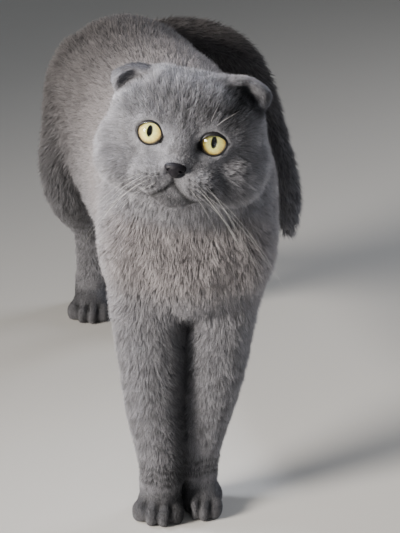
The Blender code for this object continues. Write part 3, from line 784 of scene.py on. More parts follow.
def marksAndShade(points):  # how light the coat is (1 plain), its painted shade included, and how warm (0 cool), for each point
    plan = marksAndShadePlan
    local = inFrame(points, headMatrix)
    x, y, z = local.T
    px, py, pz = points.T
    onHead = smoothStep(np.linalg.norm(local, axis=1), 75, 60)
    front = onHead * smoothStep(y, 5, -15)

    sway = 2.5 * np.sin(px * 260) + 2 * np.sin(px * 610 + pz * 170)
    patchy = 0.5 + 0.5 * np.sin(px * 420 + pz * 95 + 2)
    bands = waves(pz / mm + sway, plan["bandGap"]) ** 2 * patchy
    folds = waves(pz / mm + sway + 90 * px, plan["foldGap"]) ** 3 * patchy
    stripes = waves(x + 0.01 * x * z, plan["stripeGap"]) ** 2
    breast = window(pz, 0.15, 0.18, 0.215, 0.235) * smoothStep(py, -0.12, -0.16)
    wrinkle = 1.2 * np.sin(px * 330) + 0.7 * np.sin(px * 820 + py * 300)
    gap = np.interp(pz, *zip(*plan["legGap"]))
    inner = np.exp(-(((px / mm - gap) / np.where(px / mm < gap, 11, 6)) ** 2))
    inner *= smoothStep(pz, 0.152, 0.138) * smoothStep(py, -0.09, -0.11)
    brow = front * window(z, 2, 10, 26, 40) * smoothStep(np.abs(x), 28, 16)
    temple = patch(np.abs(x), z, *plan["temple"]) * onHead * smoothStep(y, 8, -10)
    marks = [  # how dark, and where
        (plan["pawDark"], smoothStep(pz, *plan["pawHeights"])),
        (plan["bandDark"], window(pz, 0.024, 0.045, 0.10, 0.14) * bands),
        (-plan["breastLight"], breast),
        # painted shade in soft folds of the chest's fur
        (plan["foldShade"], breast * folds),
        # painted shade over the back, hips and tail
        (plan["backShade"], smoothStep(py, -0.08, 0.12) * smoothStep(pz, 0.06, 0.16)),
        # painted shade in the crease along the mouth
        (plan["mouthCreaseShade"], smoothStep(mouthGap(local), 3.2, 0.2) * onHead),
        # painted shade in the grooves between the toes
        (plan["toeGapShade"], toeGaps(points)),
        # painted shade where the forelegs face each other
        (plan["innerLegShade"], inner),
        (plan["stripeDark"], brow * stripes),
        # thin-coated temples, with painted shade deepening the cat's left one
        (np.where(x > 0, *plan["templeDark"]), temple),
        (plan["legDark"], smoothStep(pz, 0.14, 0.05)),
        (-plan["bridgeLight"], front * smoothStep(np.abs(x), 7, 3) * window(z, -14, -8, 4, 14)),
        (-plan["padLight"], front * smoothStep(np.hypot(np.abs(x) - 12, z + 26), 13, 6)),
    ]
    # painted shade in thin creases over the wrists
    for height in plan["creases"]:
        line = np.exp(-(((pz / mm - height + wrinkle) / 0.9) ** 2))
        marks.append((plan["creaseShade"], line * smoothStep(py, -0.10, -0.13)))
    # the brow's markings and the face's painted shade
    for middle, half, dark in plan["faceMarksAndShade"]:
        marks.append((dark, front * patch(x, z, middle, half)))
    for side, sign in sideSigns.items():
        # dark inner corners of the eyes, the cat's left one deepened with painted shade
        corner = distance(local, (sign * 10.2, -43, -4), (2.6, 8, 5))
        marks.append((plan["cornerDark"][side], smoothStep(corner, 1.4, 0.5)))
        for across, up in whiskerRoots(side):
            spot = smoothStep(np.hypot(x - across, z - up), plan["spotRadius"], 0.3)
            marks.append((plan["spotDark"], spot * front))
        ear = local - np.array(skinPlan["earMiddles"][side])  # painted light or shade over its fold, by side, and its darker cup deepened with painted shade
        near = onHead * smoothStep(np.linalg.norm(ear, axis=1), 24, 18)
        cup = near * smoothStep(distance(ear, (-2 * sign, -13, -2), (13, 10, 10.5)), 1.1, 0.9)
        marks.append((-plan["earLightAndShade"][side], near * smoothStep(ear[:, 1], 2, -6)))
        marks.append((plan["earDark"][side], cup))
    shade = np.ones(len(points))
    for dark, where in marks:
        shade *= 1 - dark * where
    tufts = (clouds(local / [2.4, 4, 5.5]) + 0.6 * clouds(local / [1.3, 2, 3])) * plan["faceTufts"] * onHead
    tufts += plan["bodyTufts"] * clouds(points / mm / [5, 7, 4.5]) * (1 - onHead)
    # the back's brown is partly its painted shade
    back = smoothStep(pz, 0.12, 0.24) * smoothStep(np.linalg.norm(local, axis=1), 65, 170)
    warmth = np.maximum(plan["backWarmth"] * back, plan["breastWarmth"] * breast)
    return np.clip(shade * (1 + tufts), *plan["shadeLimits"]), 0.35 + 0.65 * warmth


def storeMarksAndShade(mesh, places):  # read at each point's own place, or at the root of its lock
    shade, warmth = marksAndShade(places)
    # painted shade where the skin curves in
    shade *= 1 - marksAndShadePlan["hollowShadeStrength"] * readValues(mesh, "hollowShade")
    storeValues(mesh, "shade", shade)
    storeValues(mesh, "warmth", warmth)


# Materials

def newMaterial(name):  # the material and its tree
    material = bpy.data.materials.new(name)
    material.use_nodes = True
    return material, material.node_tree


def finished(material, inputs):  # each value goes to the shader's own socket
    fillInputs(material.node_tree, material.node_tree.nodes["Principled BSDF"], inputs)
    return material


coatColours = {
    "coolRoot": "#595b60",
    "coolTip": "#a6a8af",
    "warmRoot": "#5d5857",
    "warmTip": "#b0a8a6",
    "lock": 0.34,  # how far one lock may differ from the next
}


def shadedColour(tree, along, level):  # root to tip, cool to warm, then the level and the markings with their painted shade
    shade, warmth = (addNode(tree, "ShaderNodeAttribute", {"attribute_name": name}).outputs["Fac"]
                     for name in ("shade", "warmth"))
    tones = []
    for tone in ("cool", "warm"):
        ends = {0: along, 6: coatColours[tone + "Root"], 7: coatColours[tone + "Tip"]}
        tones.append(addNode(tree, "ShaderNodeMix", colourData, ends).outputs[2])
    mixed = addNode(tree, "ShaderNodeMix", colourData, {0: warmth, 6: tones[0], 7: tones[1]}).outputs[2]
    lightness = addNode(tree, "ShaderNodeMath", multiplying, {0: level, 1: shade})
    return addNode(tree, "ShaderNodeVectorMath", scaling, {0: mixed, "Scale": lightness})


def plushFur():  # dense double coat, each lock dark at its root and silvery at its tip: a soft, deep pile
    material, tree = newMaterial("plushFur")
    along, tint = (addNode(tree, "ShaderNodeAttribute", {"attribute_name": name}).outputs["Fac"]
                   for name in ("along", "tint"))
    rise = addNode(tree, "ShaderNodeMath", raising, {0: along, 1: 0.8})
    spread = {"Value": tint, "To Min": 1 - coatColours["lock"] / 2, "To Max": 1 + coatColours["lock"] / 2}
    level = addNode(tree, "ShaderNodeMapRange", None, spread)
    return finished(material, {"Base Color": shadedColour(tree, rise, level), "Roughness": 0.62,
                               "Specular IOR Level": 0.28, "Sheen Weight": 0.25, "Sheen Roughness": 0.4})


def undercoat():  # woolly underfur close to the hide, seen dark between the locks
    material, tree = newMaterial("undercoat")
    place = addNode(tree, "ShaderNodeTexCoord").outputs["Object"]
    wool = addNode(tree, "ShaderNodeTexNoise", None, {"Vector": place, "Scale": 900, "Detail": 3})
    bump = addNode(tree, "ShaderNodeBump", None, {"Height": wool, "Distance": 0.0006})
    colour = shadedColour(tree, wool, 0.85)
    return finished(material, {"Base Color": colour, "Normal": bump, "Roughness": 0.85})


def noseLeather():  # bare slate skin, finely pebbled and moist, so it takes small soft lights
    material, tree = newMaterial("noseLeather")
    place = addNode(tree, "ShaderNodeTexCoord").outputs["Object"]
    pebble = addNode(tree, "ShaderNodeTexVoronoi", None, {"Vector": place, "Scale": 1900})
    mottle = addNode(tree, "ShaderNodeTexNoise", None, {"Vector": place, "Scale": 350, "Detail": 2})
    colour = addNode(tree, "ShaderNodeMix", colourData, {0: mottle, 6: "#0f0e11", 7: "#242127"})
    bump = addNode(tree, "ShaderNodeBump", None, {"Height": pebble, "Distance": 0.00012, "Strength": 0.6})
    return finished(material, {"Base Color": colour.outputs[2], "Normal": bump, "Roughness": 0.5,
                               "Specular IOR Level": 0.3})


def lidSkin():  # bare dark rim of the lids and lips, moist, so a thin line of light runs along it
    material, tree = newMaterial("lidSkin")
    place = addNode(tree, "ShaderNodeTexCoord").outputs["Object"]
    mottle = addNode(tree, "ShaderNodeTexNoise", None, {"Vector": place, "Scale": 700, "Detail": 2})
    colour = addNode(tree, "ShaderNodeMix", colourData, {0: mottle, 6: "#0d0c0d", 7: "#252224"})
    return finished(material, {"Base Color": colour.outputs[2], "Roughness": 0.45})


irisPlan = {
    "pupilHalf": (1.55, 3.4),
    "edge": 8.1,
    "fibres": 64,
    "stops": ((0.0, "#0b0a08"), (0.16, "#0b0a08"), (0.20, "#5f6128"), (0.28, "#c3c575"), (0.55, "#c6bd62"),
              (0.74, "#ab933f"), (0.84, "#4a3b1c"), (1.0, "#0d0b0a")),
}


def irisTissue():  # greenish yellow, paler by the pupil, with radial fibres and a dark ring at its edge
    material, tree = newMaterial("irisTissue")
    uv = addNode(tree, "ShaderNodeUVMap", {"uv_map": "irisMap"})  # u goes round, v goes out
    parts = addNode(tree, "ShaderNodeSeparateXYZ", None, {0: uv})
    stretch = addNode(tree, "ShaderNodeMapping", None,
                      {"Vector": uv, "Scale": (irisPlan["fibres"], 2.5, 1)})
    fibre = addNode(tree, "ShaderNodeTexNoise", None, {"Vector": stretch, "Scale": 1.0, "Detail": 3})
    ramp = addNode(tree, "ShaderNodeValToRGB", None, {0: parts.outputs["Y"]})
    for i, (at, code) in enumerate(irisPlan["stops"]):
        stop = ramp.color_ramp.elements[i] if i < 2 else ramp.color_ramp.elements.new(at)
        stop.position = at
        stop.color = linearColour(code)
    lines = addNode(tree, "ShaderNodeMapRange", None,
                    {"Value": fibre, "From Min": 0.3, "From Max": 0.7, "To Min": 0.72, "To Max": 1.15})
    colour = addNode(tree, "ShaderNodeVectorMath", scaling, {0: ramp, "Scale": lines})
    bump = addNode(tree, "ShaderNodeBump", None, {"Height": fibre, "Distance": 0.0002})
    return finished(material, {"Base Color": colour, "Normal": bump, "Roughness": 0.5})


def clearCornea():  # wet clear dome over the iris: it mirrors the lights sharply and shows depth behind it
    material = newMaterial("clearCornea")[0]
    return finished(material, {"Base Color": (1, 1, 1, 1), "Roughness": 0.0, "IOR": 1.376,
                               "Transmission Weight": 1.0})


def whiskerHair():  # stiff white bristle, smooth, so it shines along its length
    material, tree = newMaterial("whiskerHair")
    along = addNode(tree, "ShaderNodeAttribute", {"attribute_name": "along"}).outputs["Fac"]
    colour = addNode(tree, "ShaderNodeMix", colourData, {0: along, 6: "#b9b7b4", 7: "#e4e2df"})
    return finished(material, {"Base Color": colour.outputs[2], "Roughness": 0.35})


def paleFloor():  # plain matt studio floor
    material, tree = newMaterial("paleFloor")
    place = addNode(tree, "ShaderNodeTexCoord").outputs["Object"]
    cloud = addNode(tree, "ShaderNodeTexNoise", None, {"Vector": place, "Scale": 3, "Detail": 4})
    colour = addNode(tree, "ShaderNodeMix", colourData, {0: cloud, 6: "#cfccc6", 7: "#d8d5cf"})
    return finished(material, {"Base Color": colour.outputs[2], "Roughness": 0.8})


furMaterial = plushFur()
lidMaterial = lidSkin()
corneaMaterial = clearCornea()
irisMaterial = irisTissue()

# Skin piece

storeMarksAndShade(skinMesh, meshPoints(skinMesh))
skinMesh.shade_smooth()
skin = newPiece("skin", skinMesh, undercoat())
skinPoints, skinNormals = meshPoints(skinMesh), meshNormals(skinMesh)
skinLocal = inFrame(skinPoints, headMatrix)

# Coat: locks planted on the skin by Geometry Nodes, one piece for each region

furPlan = {
    "seed": 11,
    "segments": 1,  # bends along a lock
    "nose": ((0, -54, -18.0), (6.8, 8, 4.9)),  # middle and half sizes of the leather, where no lock grows
    "pieces": {  # locks and clumps per mm2, and mean width in mm
        "coat_face": (3.3, 0.14, 0.34),
        "coat_head": (3.1, 0.10, 0.40),
        "coat_chest": (0.86, 0.035, 0.55),
        "coat_chest_under": (0.86, 0.035, 0.55),
        "coat_foreleg_left": (2.65, 0.08, 0.36),
        "coat_foreleg_right": (2.65, 0.08, 0.36),
        "coat_hindlegs": (1.1, 0.06, 0.55),
        "coat_trunk": (0.7, 0.04, 0.65),
        "coat_rump": (0.73, 0.04, 0.68),
    },
    "earShare": 1.3,  # the ears and paws are thicker set than what is round them
    "pawShare": 1.4,
    "unruly": 0.22,
    "swirl": (110.0, 1.1),  # scale and strength of the cowlicks
    "stray": {"From Min": 3.0, "From Max": 8.0, "To Min": 1.0, "To Max": 1.8},  # long locks stray more
    "fine": {"From Min": 1.0, "From Max": 5.0, "To Min": 0.62, "To Max": 1.0},  # short locks are finer
    "lengths": (0.65, 1.1),
    "widths": (0.7, 1.3),
    "mottle": 170.0,
}


def plantingAreas():
    openings = np.minimum(*(outOfOpening(skinPoints, side)[0] for side in sideSigns))
    bare = smoothStep(openings, -0.4, 0.3) * smoothStep(distance(skinLocal, *furPlan["nose"]), 0.9, 1.15)
    bare *= growing(mouthGap(skinLocal), 0.35, 0.3, 1.4)
    bare *= 1 - smoothStep(-skinNormals[:, 2], 0.5, 0.8) * (skinPoints[:, 2] < 0.003)
    front = smoothStep(skinLocal[:, 1], -6, -12)
    head, ears = startsWith(skinLabels, "head"), startsWith(skinLabels, "ear")
    chest = startsWith(skinLabels, "neck", "chest")
    areas = {
        "coat_face": head * front,
        "coat_head": head * (1 - front) + ears * furPlan["earShare"],
        "coat_chest": chest,
        "coat_chest_under": chest,
        "coat_hindlegs": startsWith(skinLabels, "hind"),
        "coat_trunk": startsWith(skinLabels, "abdomen", "thigh_right"),
        "coat_rump": startsWith(skinLabels, "rump", "tail", "thigh_left"),
    }
    for side in sideSigns:
        leg = startsWith(skinLabels, "foreleg_upper_" + side, "foreleg_lower_" + side)
        paw = startsWith(skinLabels, "forepaw_" + side)
        areas["coat_foreleg_" + side] = leg + paw * furPlan["pawShare"]
    for name in furPlan["pieces"]:
        storeValues(skinMesh, name, areas[name] * bare)


def furTree():
    tree, given = newTree("furPlanter", {"Skin": "Geometry", "Area": "String", "Density": "Float",
                                         "Clumps": "Float", "Width": "Float", "Segments": "Int",
                                         "Seed": "Int", "Fur": "Material"}, "Coat")
    place = addNode(tree, "GeometryNodeInputPosition")
    length, rise, clump, along = (
        addNode(tree, "GeometryNodeInputNamedAttribute", floatData, {"Name": name})
        for name in ("length", "rise", "clump", "along"))
    lie, bent = (addNode(tree, "GeometryNodeInputNamedAttribute", vectorData, {"Name": name})
                 for name in ("way", "bend"))
    seeds = [addNode(tree, "ShaderNodeMath", adding, {0: given["Seed"], 1: float(i)}) for i in range(6)]
    ranges = furPlan["lengths"], furPlan["widths"], (0.0, 6.28), (0.0, 0.5)
    longer, wider, angle, tinted = (
        addNode(tree, "FunctionNodeRandomValue", floatData, {2: low, 3: high, "Seed": one}).outputs[1]
        for one, (low, high) in zip(seeds[1:], ranges))

    # roots, thicker where the area says, and the middles of the clumps
    area = addNode(tree, "GeometryNodeInputNamedAttribute", floatData, {"Name": given["Area"]})
    perMetre, clumps = (addNode(tree, "ShaderNodeMath", multiplying, {0: given[name], 1: 1e6})
                        for name in ("Density", "Clumps"))
    density = addNode(tree, "ShaderNodeMath", multiplying, {0: area, 1: perMetre})
    roots = addNode(tree, "GeometryNodeDistributePointsOnFaces", None,
                    {"Mesh": given["Skin"], "Density": density, "Seed": given["Seed"]})
    centres = addNode(tree, "GeometryNodeDistributePointsOnFaces", None,
                      {"Mesh": given["Skin"], "Density": clumps, "Seed": seeds[5]})
    near = addNode(tree, "GeometryNodeSampleNearest", {"domain": "POINT"},
                   {"Geometry": centres, "Sample Position": place})
    centre = addNode(tree, "GeometryNodeSampleIndex", {**vectorData, "domain": "POINT"},
                     {"Geometry": centres, "Value": place, "Index": near})
    toCentre = addNode(tree, "ShaderNodeVectorMath", subtracting, {0: centre, 1: place})
    gather = addNode(tree, "ShaderNodeVectorMath", scaling, {0: toCentre, "Scale": clump})

    # the way each lock points: along the lie, raised off the skin, a little unruly
    normal = roots.outputs["Normal"]
    lift = addNode(tree, "ShaderNodeMath", multiplying, {0: rise, 1: standing})
    raised = addNode(tree, "ShaderNodeVectorMath", scaling, {0: normal, "Scale": lift})
    loosest = furPlan["unruly"]
    unruly = addNode(tree, "FunctionNodeRandomValue", vectorData,
                     {0: (-loosest, -loosest, -loosest), 1: (loosest, loosest, loosest), "Seed": seeds[0]})
    swirlScale, swirlStrength = furPlan["swirl"]
    swirl = addNode(tree, "ShaderNodeTexNoise", None, {"Vector": place, "Scale": swirlScale, "Detail": 2.0})
    middling = addNode(tree, "ShaderNodeVectorMath", subtracting,
                       {0: swirl.outputs["Color"], 1: (0.5, 0.5, 0.5)})
    swirled = addNode(tree, "ShaderNodeVectorMath", scaling, {0: middling, "Scale": swirlStrength})
    stray = addNode(tree, "ShaderNodeMapRange", None, {"Value": length, **furPlan["stray"]})
    astray = addNode(tree, "ShaderNodeVectorMath", adding, {0: unruly, 1: swirled})
    loose = addNode(tree, "ShaderNodeVectorMath", scaling, {0: astray, "Scale": stray})
    upright = addNode(tree, "ShaderNodeVectorMath", adding, {0: lie, 1: raised})
    leaning = addNode(tree, "ShaderNodeVectorMath", adding, {0: upright, 1: loose})
    way = addNode(tree, "ShaderNodeVectorMath", normalising, {0: leaning})

    # its length and width, the bend of its tip, its turn and its tint
    varied = addNode(tree, "ShaderNodeMath", multiplying, {0: length, 1: longer})
    long = addNode(tree, "ShaderNodeMath", multiplying, {0: varied, 1: mm})
    dropping = addNode(tree, "ShaderNodeMath", multiplying, {0: long, 1: drooping})
    down = addNode(tree, "ShaderNodeVectorMath", subtracting, {0: lie, 1: normal})
    droop = addNode(tree, "ShaderNodeVectorMath", scaling, {0: down, "Scale": dropping})
    bend = addNode(tree, "ShaderNodeVectorMath", adding, {0: droop, 1: gather})
    fine = addNode(tree, "ShaderNodeMapRange", None, {"Value": length, **furPlan["fine"]})
    widthMetres = addNode(tree, "ShaderNodeMath", multiplying, {0: given["Width"], 1: mm})
    width = addNode(tree, "ShaderNodeMath", multiplying, {0: widthMetres, 1: fine})
    thick = addNode(tree, "ShaderNodeMath", multiplying, {0: width, 1: wider})
    size = addNode(tree, "ShaderNodeCombineXYZ", None, {0: thick, 1: thick, 2: long})
    aim = addNode(tree, "FunctionNodeAlignRotationToVector", {"axis": "Z"}, {"Vector": way})
    roll = addNode(tree, "FunctionNodeAxisAngleToRotation", None, {"Axis": (0, 0, 1), "Angle": angle})
    turn = addNode(tree, "FunctionNodeRotateRotation", {"rotation_space": "LOCAL"},
                   {"Rotation": aim, "Rotate By": roll})
    mottle = addNode(tree, "ShaderNodeTexNoise", None,
                     {"Vector": place, "Scale": furPlan["mottle"], "Detail": 2.0})
    blotch = addNode(tree, "ShaderNodeMapRange", None, {"Value": mottle, "From Min": 0.3, "From Max": 0.7})
    half = addNode(tree, "ShaderNodeMath", multiplying, {0: blotch, 1: 0.5})
    tint = addNode(tree, "ShaderNodeMath", adding, {0: half, 1: tinted})

    # one lock: a three-sided spike, its height kept as "along"
    spike = addNode(tree, "GeometryNodeMeshCone", {"fill_type": "NGON"},
                    {"Vertices": 3, "Side Segments": given["Segments"], "Radius Top": 0.0,
                     "Radius Bottom": 0.5, "Depth": 1.0})
    apart = addNode(tree, "ShaderNodeSeparateXYZ", None, {0: place}).outputs
    kept = {"points": roots, "lock": spike}
    for where, name, kind, value in (
            ("points", "root", vectorData, place), ("points", "bend", vectorData, bend),
            ("points", "tint", floatData, tint), ("lock", "along", floatData, apart["Z"]),
            ("lock", "across", floatData, apart["X"])):
        kept[where] = addNode(tree, "GeometryNodeStoreNamedAttribute", {**kind, "domain": "POINT"},
                              {"Geometry": kept[where], "Name": name, "Value": value})
    locks = addNode(tree, "GeometryNodeInstanceOnPoints", None,
                    {"Points": kept["points"], "Instance": kept["lock"], "Rotation": turn, "Scale": size})
    real = addNode(tree, "GeometryNodeRealizeInstances", None, {0: locks})
    square = addNode(tree, "ShaderNodeMath", raising, {0: along, 1: 2.0})
    offset = addNode(tree, "ShaderNodeVectorMath", scaling, {0: bent, "Scale": square})
    curved = addNode(tree, "GeometryNodeSetPosition", None, {"Geometry": real, "Offset": offset})
    dressed = addNode(tree, "GeometryNodeSetMaterial", None, {"Geometry": curved, "Material": given["Fur"]})
    addNode(tree, "NodeGroupOutput", None, {0: dressed})
    return tree


unwrapPaths = {  # the solids that each coat is unwrapped round; the head's go round a ball
    "coat_chest": [("neck", "chest", "abdomen")],
    "coat_chest_under": [("neck", "chest", "abdomen")],
    "coat_foreleg_left": [("foreleg_upper_left", "forepaw_left")],
    "coat_foreleg_right": [("foreleg_upper_right", "forepaw_right")],
    "coat_hindlegs": [("hindleg_lower_left", "hindpaw_left"), ("hindleg_lower_right", "hindpaw_right")],
    "coat_trunk": [("chest", "abdomen", "rump"), ("thigh_right", "hindleg_lower_right")],
    "coat_rump": [("abdomen", "rump"), ("thigh_left", "hindleg_lower_left"),
                  ("tail_base", "tail_middle", "tail_tip")],
}
patchSize = 0.003  # of one lock on the map
pastEnds = 0.08  # how far a path reaches past its ends, in metres


def unwrapTubes(points, paths):  # each path has a column of the map: u goes round it and v along it
    best = np.full(len(points), 1e9)
    found = np.zeros((len(points), 2))
    for column, path in enumerate(paths):
        stops = np.array([list(boxMiddle(name)) for name in path])
        spans = np.linalg.norm(np.diff(stops, axis=0), axis=1)
        before = 0.0
        for a, b, span in zip(stops, stops[1:], spans):
            along = (b - a) / span
            t = np.clip((points - a) @ along, -pastEnds, span + pastEnds)
            off = points - a - t[:, None] * along
            gap = np.linalg.norm(points - a - np.clip(t, 0, span)[:, None] * along, axis=1)
            reference = np.array([0, 0, 1.0]) if abs(along[2]) < 0.7 else np.array([0, 1.0, 0])
            up = unit((reference - along * (reference @ along))[None, :])[0]
            angle = np.arctan2(off @ np.cross(along, up), off @ up) / (2 * np.pi) + 0.5
            v = (before + t + pastEnds) / (spans.sum() + 2 * pastEnds)
            nearer = gap < best
            best[nearer] = gap[nearer]
            found[nearer] = np.stack([(column + 0.02 + 0.96 * angle) / len(paths), v], axis=1)[nearer]
            before += span
    return found


def unwrapBall(points):  # round the head, with the join at its back
    local = inFrame(points, headMatrix)
    u = 0.5 + np.arctan2(local[:, 0], -local[:, 1]) / (2 * np.pi)
    v = 1 - np.arccos(np.clip(local[:, 2] / np.linalg.norm(local, axis=1), -1, 1)) / np.pi
    return np.stack([u, v], axis=1)


def addBakeMap(mesh, rootPlaces):
    corners = np.empty(len(mesh.loops), np.int32)
    mesh.loops.foreach_get("vertex_index", corners)
    small = np.stack([readValues(mesh, "across"), readValues(mesh, "along") - 0.5], axis=1) * patchSize
    places = np.clip(rootPlaces * 0.99 + 0.005 + small, 0, 1)[corners]
    layer = mesh.uv_layers.new(name="OFBake")
    layer.data.foreach_set("uv", places.astype(np.float32).ravel())


def growCoat(name, density, clumps, width):
    tree = bpy.data.node_groups.get("furPlanter") or furTree()
    seed = furPlan["seed"] + 10 * len(pieces)
    mesh = grown(skinMesh, tree, {"Area": name, "Density": density, "Clumps": clumps, "Width": width,
                                  "Segments": furPlan["segments"], "Seed": seed, "Fur": furMaterial})
    root = readValues(mesh, "root", 3)
    storeMarksAndShade(mesh, root)
    addBakeMap(mesh, unwrapTubes(root, unwrapPaths[name]) if name in unwrapPaths else unwrapBall(root))
    dropValues(mesh, "root", "bend", "across", "way", "length", "rise", "clump", "hollowShade")
    points = meshPoints(mesh)
    points[:, 2] = np.maximum(points[:, 2], floorGap)
    setPoints(mesh, points)
    report(f"{name} has {sum(len(p.vertices) - 2 for p in mesh.polygons)} triangles")
    return newPiece(name, mesh)


plantingAreas()
coats = [growCoat(name, *sizes) for name, sizes in furPlan["pieces"].items()]
dropValues(skinMesh, "way", "length", "rise", "clump", "hollowShade")

# Eyes: an iris bowl with a real pupil in the eyeball, a clear dome over it, and the rim of the lids

eyePlan = {
    "radius": 10.4,
    "round": 48,
    # share of the way out from the pupil's edge, depth from the eye's middle, and place on the iris's ramp
    "rings": ((-0.6, 4.6, 0.02), (-0.1, 6.0, 0.08), (0, 7.15, 0.17), (0.06, 7.3, 0.22), (0.3, 7.2, 0.42),
              (0.6, 6.95, 0.65), (0.85, 6.75, 0.84), (1.0, 6.65, 0.93)),
    "ball": (56, 70, 90, 115, 140, 165),  # degrees from the gaze of the rings round the ball
    "ballPlace": 0.99,
    "domeRadius": 9.4,
    "domeBase": 10.46,
    "domeRise": 0.5,
    "domeWall": 0.25,
    "domeRings": 12,
}


def eyeRing(radius, depth, angles):  # a loop round the axis of the eye, in mm
    parts = radius * np.cos(angles), -depth, radius * np.sin(angles)
    return np.stack(np.broadcast_arrays(*parts), axis=1)


def eyeball(side):
    wide, high = irisPlan["pupilHalf"]
    count = eyePlan["round"]
    angles = anglesRound(count)
    pupil = 1 / np.hypot(np.cos(angles) / wide, np.sin(angles) / high)
    loops, spots = [], []
    for share, depth, spot in eyePlan["rings"]:
        radius = pupil * (1 + share) if share < 0 else pupil * (1 - share) + irisPlan["edge"] * share
        loops.append(eyeRing(radius, depth, angles))
        spots.append(spot)
    for tip in np.radians(eyePlan["ball"]):
        loops.append(eyeRing(eyePlan["radius"] * np.sin(tip), eyePlan["radius"] * np.cos(tip), angles))
        spots.append(eyePlan["ballPlace"])
    mesh = meshFromRings("eye", [toWorld(loop, gazeMatrices[side]) for loop in loops])
    layer = mesh.uv_layers.new(name="irisMap")
    for poly in mesh.polygons:
        turns = [i % count / count for i in poly.vertices]
        wraps = max(turns) - min(turns) > 0.5
        for corner, i, u in zip(poly.loop_indices, poly.vertices, turns):
            layer.data[corner].uv = (u + 1 if wraps and u < 0.5 else u, spots[i // count])
    return newPiece("eyeball_" + side, mesh, irisMaterial)


def cornea(side):
    angles = anglesRound(eyePlan["round"])
    top = math.asin(eyePlan["domeRadius"] / faceLines["eyeRadius"])
    tips = np.linspace(0.03, top, eyePlan["domeRings"])
    loops = []
    for wall, across in ((0, tips), (eyePlan["domeWall"], tips[::-1])):  # the outside, then the inside
        for tip in across:
            rise = eyePlan["domeRise"] * (1 + math.cos(math.pi * min(tip / top, 1))) / 2
            radius = eyePlan["domeBase"] - wall + rise
            loops.append(eyeRing(radius * math.sin(tip), radius * math.cos(tip), angles))
    mesh = meshFromRings("cornea", [toWorld(loop, gazeMatrices[side]) for loop in loops])
    dome = newPiece("cornea_" + side, mesh, corneaMaterial)
    dome.visible_shadow = False  # light reaches the iris through it
    return dome


lidPlan = {
    "round": 64,
    # mm out from the opening's edge, and mm above the eyeball
    "across": ((-0.8, 0.05), (-0.76, 0.28), (-0.5, 0.5), (-0.15, 0.62), (0.25, 0.52), (0.5, 0.28),
               (0.62, -0.2), (0.45, -0.7), (-0.2, -0.6), (-0.8, 0.05)),
    "upperLid": {"left": 1.5, "right": 0.4},  # how far it comes down over the eye; on the cat's left it comes further, a dark band of painted shade under the brow
}


def eyelid(side):  # a rounded band on the eyeball, along the edge of its opening
    angles = anglesRound(lidPlan["round"])
    edge = openingEdge(angles, side)
    upper = lidPlan["upperLid"][side] * np.maximum(0, np.sin(angles)) ** 1.5
    loops = []
    for out, rise in lidPlan["across"]:
        radius = edge + out - upper * (out < 0)
        depth = np.sqrt(np.maximum((faceLines["eyeRadius"] + rise) ** 2 - radius**2, 0))
        loops.append(toWorld(eyeRing(radius, depth, angles), eyeMatrices[side]))
    bm = weldedCopy(meshFromRings("band", loops, caps=False), 1e-7)
    bmesh.ops.recalc_face_normals(bm, faces=bm.faces)
    newPiece("eyelid_" + side, meshOf(bm, "eyelid"), lidMaterial)


eyeballs = {side: eyeball(side) for side in sideSigns}
domes = {side: cornea(side) for side in sideSigns}
for side in sideSigns:
    eyelid(side)
report("eyes made")

# Nose: the solid's own form, finer

def noseLeatherPiece():
    mesh = meshOf(weldedCopy(nodes["nose"].data), "nose")
    mesh.shade_smooth()
    obj = linkedObject("noseForm", mesh)
    finer = obj.modifiers.new("finer", "SUBSURF")
    finer.levels = finer.render_levels = 2
    return newPiece("nose_leather", finalMesh(obj), noseLeather())


noseObject = noseLeatherPiece()

# Lips: a dark line from the nose down, and out to the corners of the mouth

lipPlan = {"radius": 0.5, "cornerRadius": 0.2, "lift": -0.3, "sides": 8, "steps": 6}
skinFaces = [list(p.vertices) for p in skinMesh.polygons]
skinTree = BVHTree.FromPolygons([Vector(p) for p in skinPoints], skinFaces)


def onFace(x, z, lift=0.0):  # the point of the skin at that place of the face, seen from the front
    start = headMatrix @ (Vector((x, -120, z)) * mm)
    ahead = headMatrix.to_3x3() @ Vector((0, 1, 0))
    hit = skinTree.ray_cast(start, ahead)[0]
    return hit - ahead * lift * mm


def smoothLine(points, steps):  # through the points, curved
    points = [Vector(p) for p in points]
    found = []
    for i in range(len(points) - 1):
        a, b = points[i], points[i + 1]
        before, after = points[max(i - 1, 0)], points[min(i + 2, len(points) - 1)]
        for k in range(steps):
            t = k / steps
            found.append(a + 0.5 * ((b - before) * t + (2 * before - 5 * a + 4 * b - after) * t**2
                                    + (3 * a - before - 3 * b + after) * t**3))
    return found + [points[-1]]


def tube(name, line, radii, sides, material):
    rings = []
    for i, p in enumerate(line):
        along = (line[min(i + 1, len(line) - 1)] - line[max(i - 1, 0)]).normalized()
        side = along.cross(Vector((0, 0, 1)) if abs(along.z) < 0.9 else Vector((0, 1, 0))).normalized()
        up = side.cross(along)
        rings.append([p + (side * math.cos(t) + up * math.sin(t)) * radii[i] for t in anglesRound(sides)])
    return newPiece(name, meshFromRings(name, rings), material)


def addLips():
    for name, sign in (("lip_middle", 0), ("lip_left", 1), ("lip_right", -1)):
        stops = faceLines["mouth"][1:] if sign else faceLines["mouth"][:2]
        line = smoothLine([(sign * x, 0, z) for x, z in stops], lipPlan["steps"])
        points = [onFace(p.x, p.z, lipPlan["lift"]) for p in line]
        radii = np.linspace(lipPlan["radius"], lipPlan["cornerRadius"], len(points)) * mm
        tube(name, points, radii, lipPlan["sides"], lidMaterial)


addLips()

# Whiskers: arcs from the pads and the brows, given their taper by Geometry Nodes

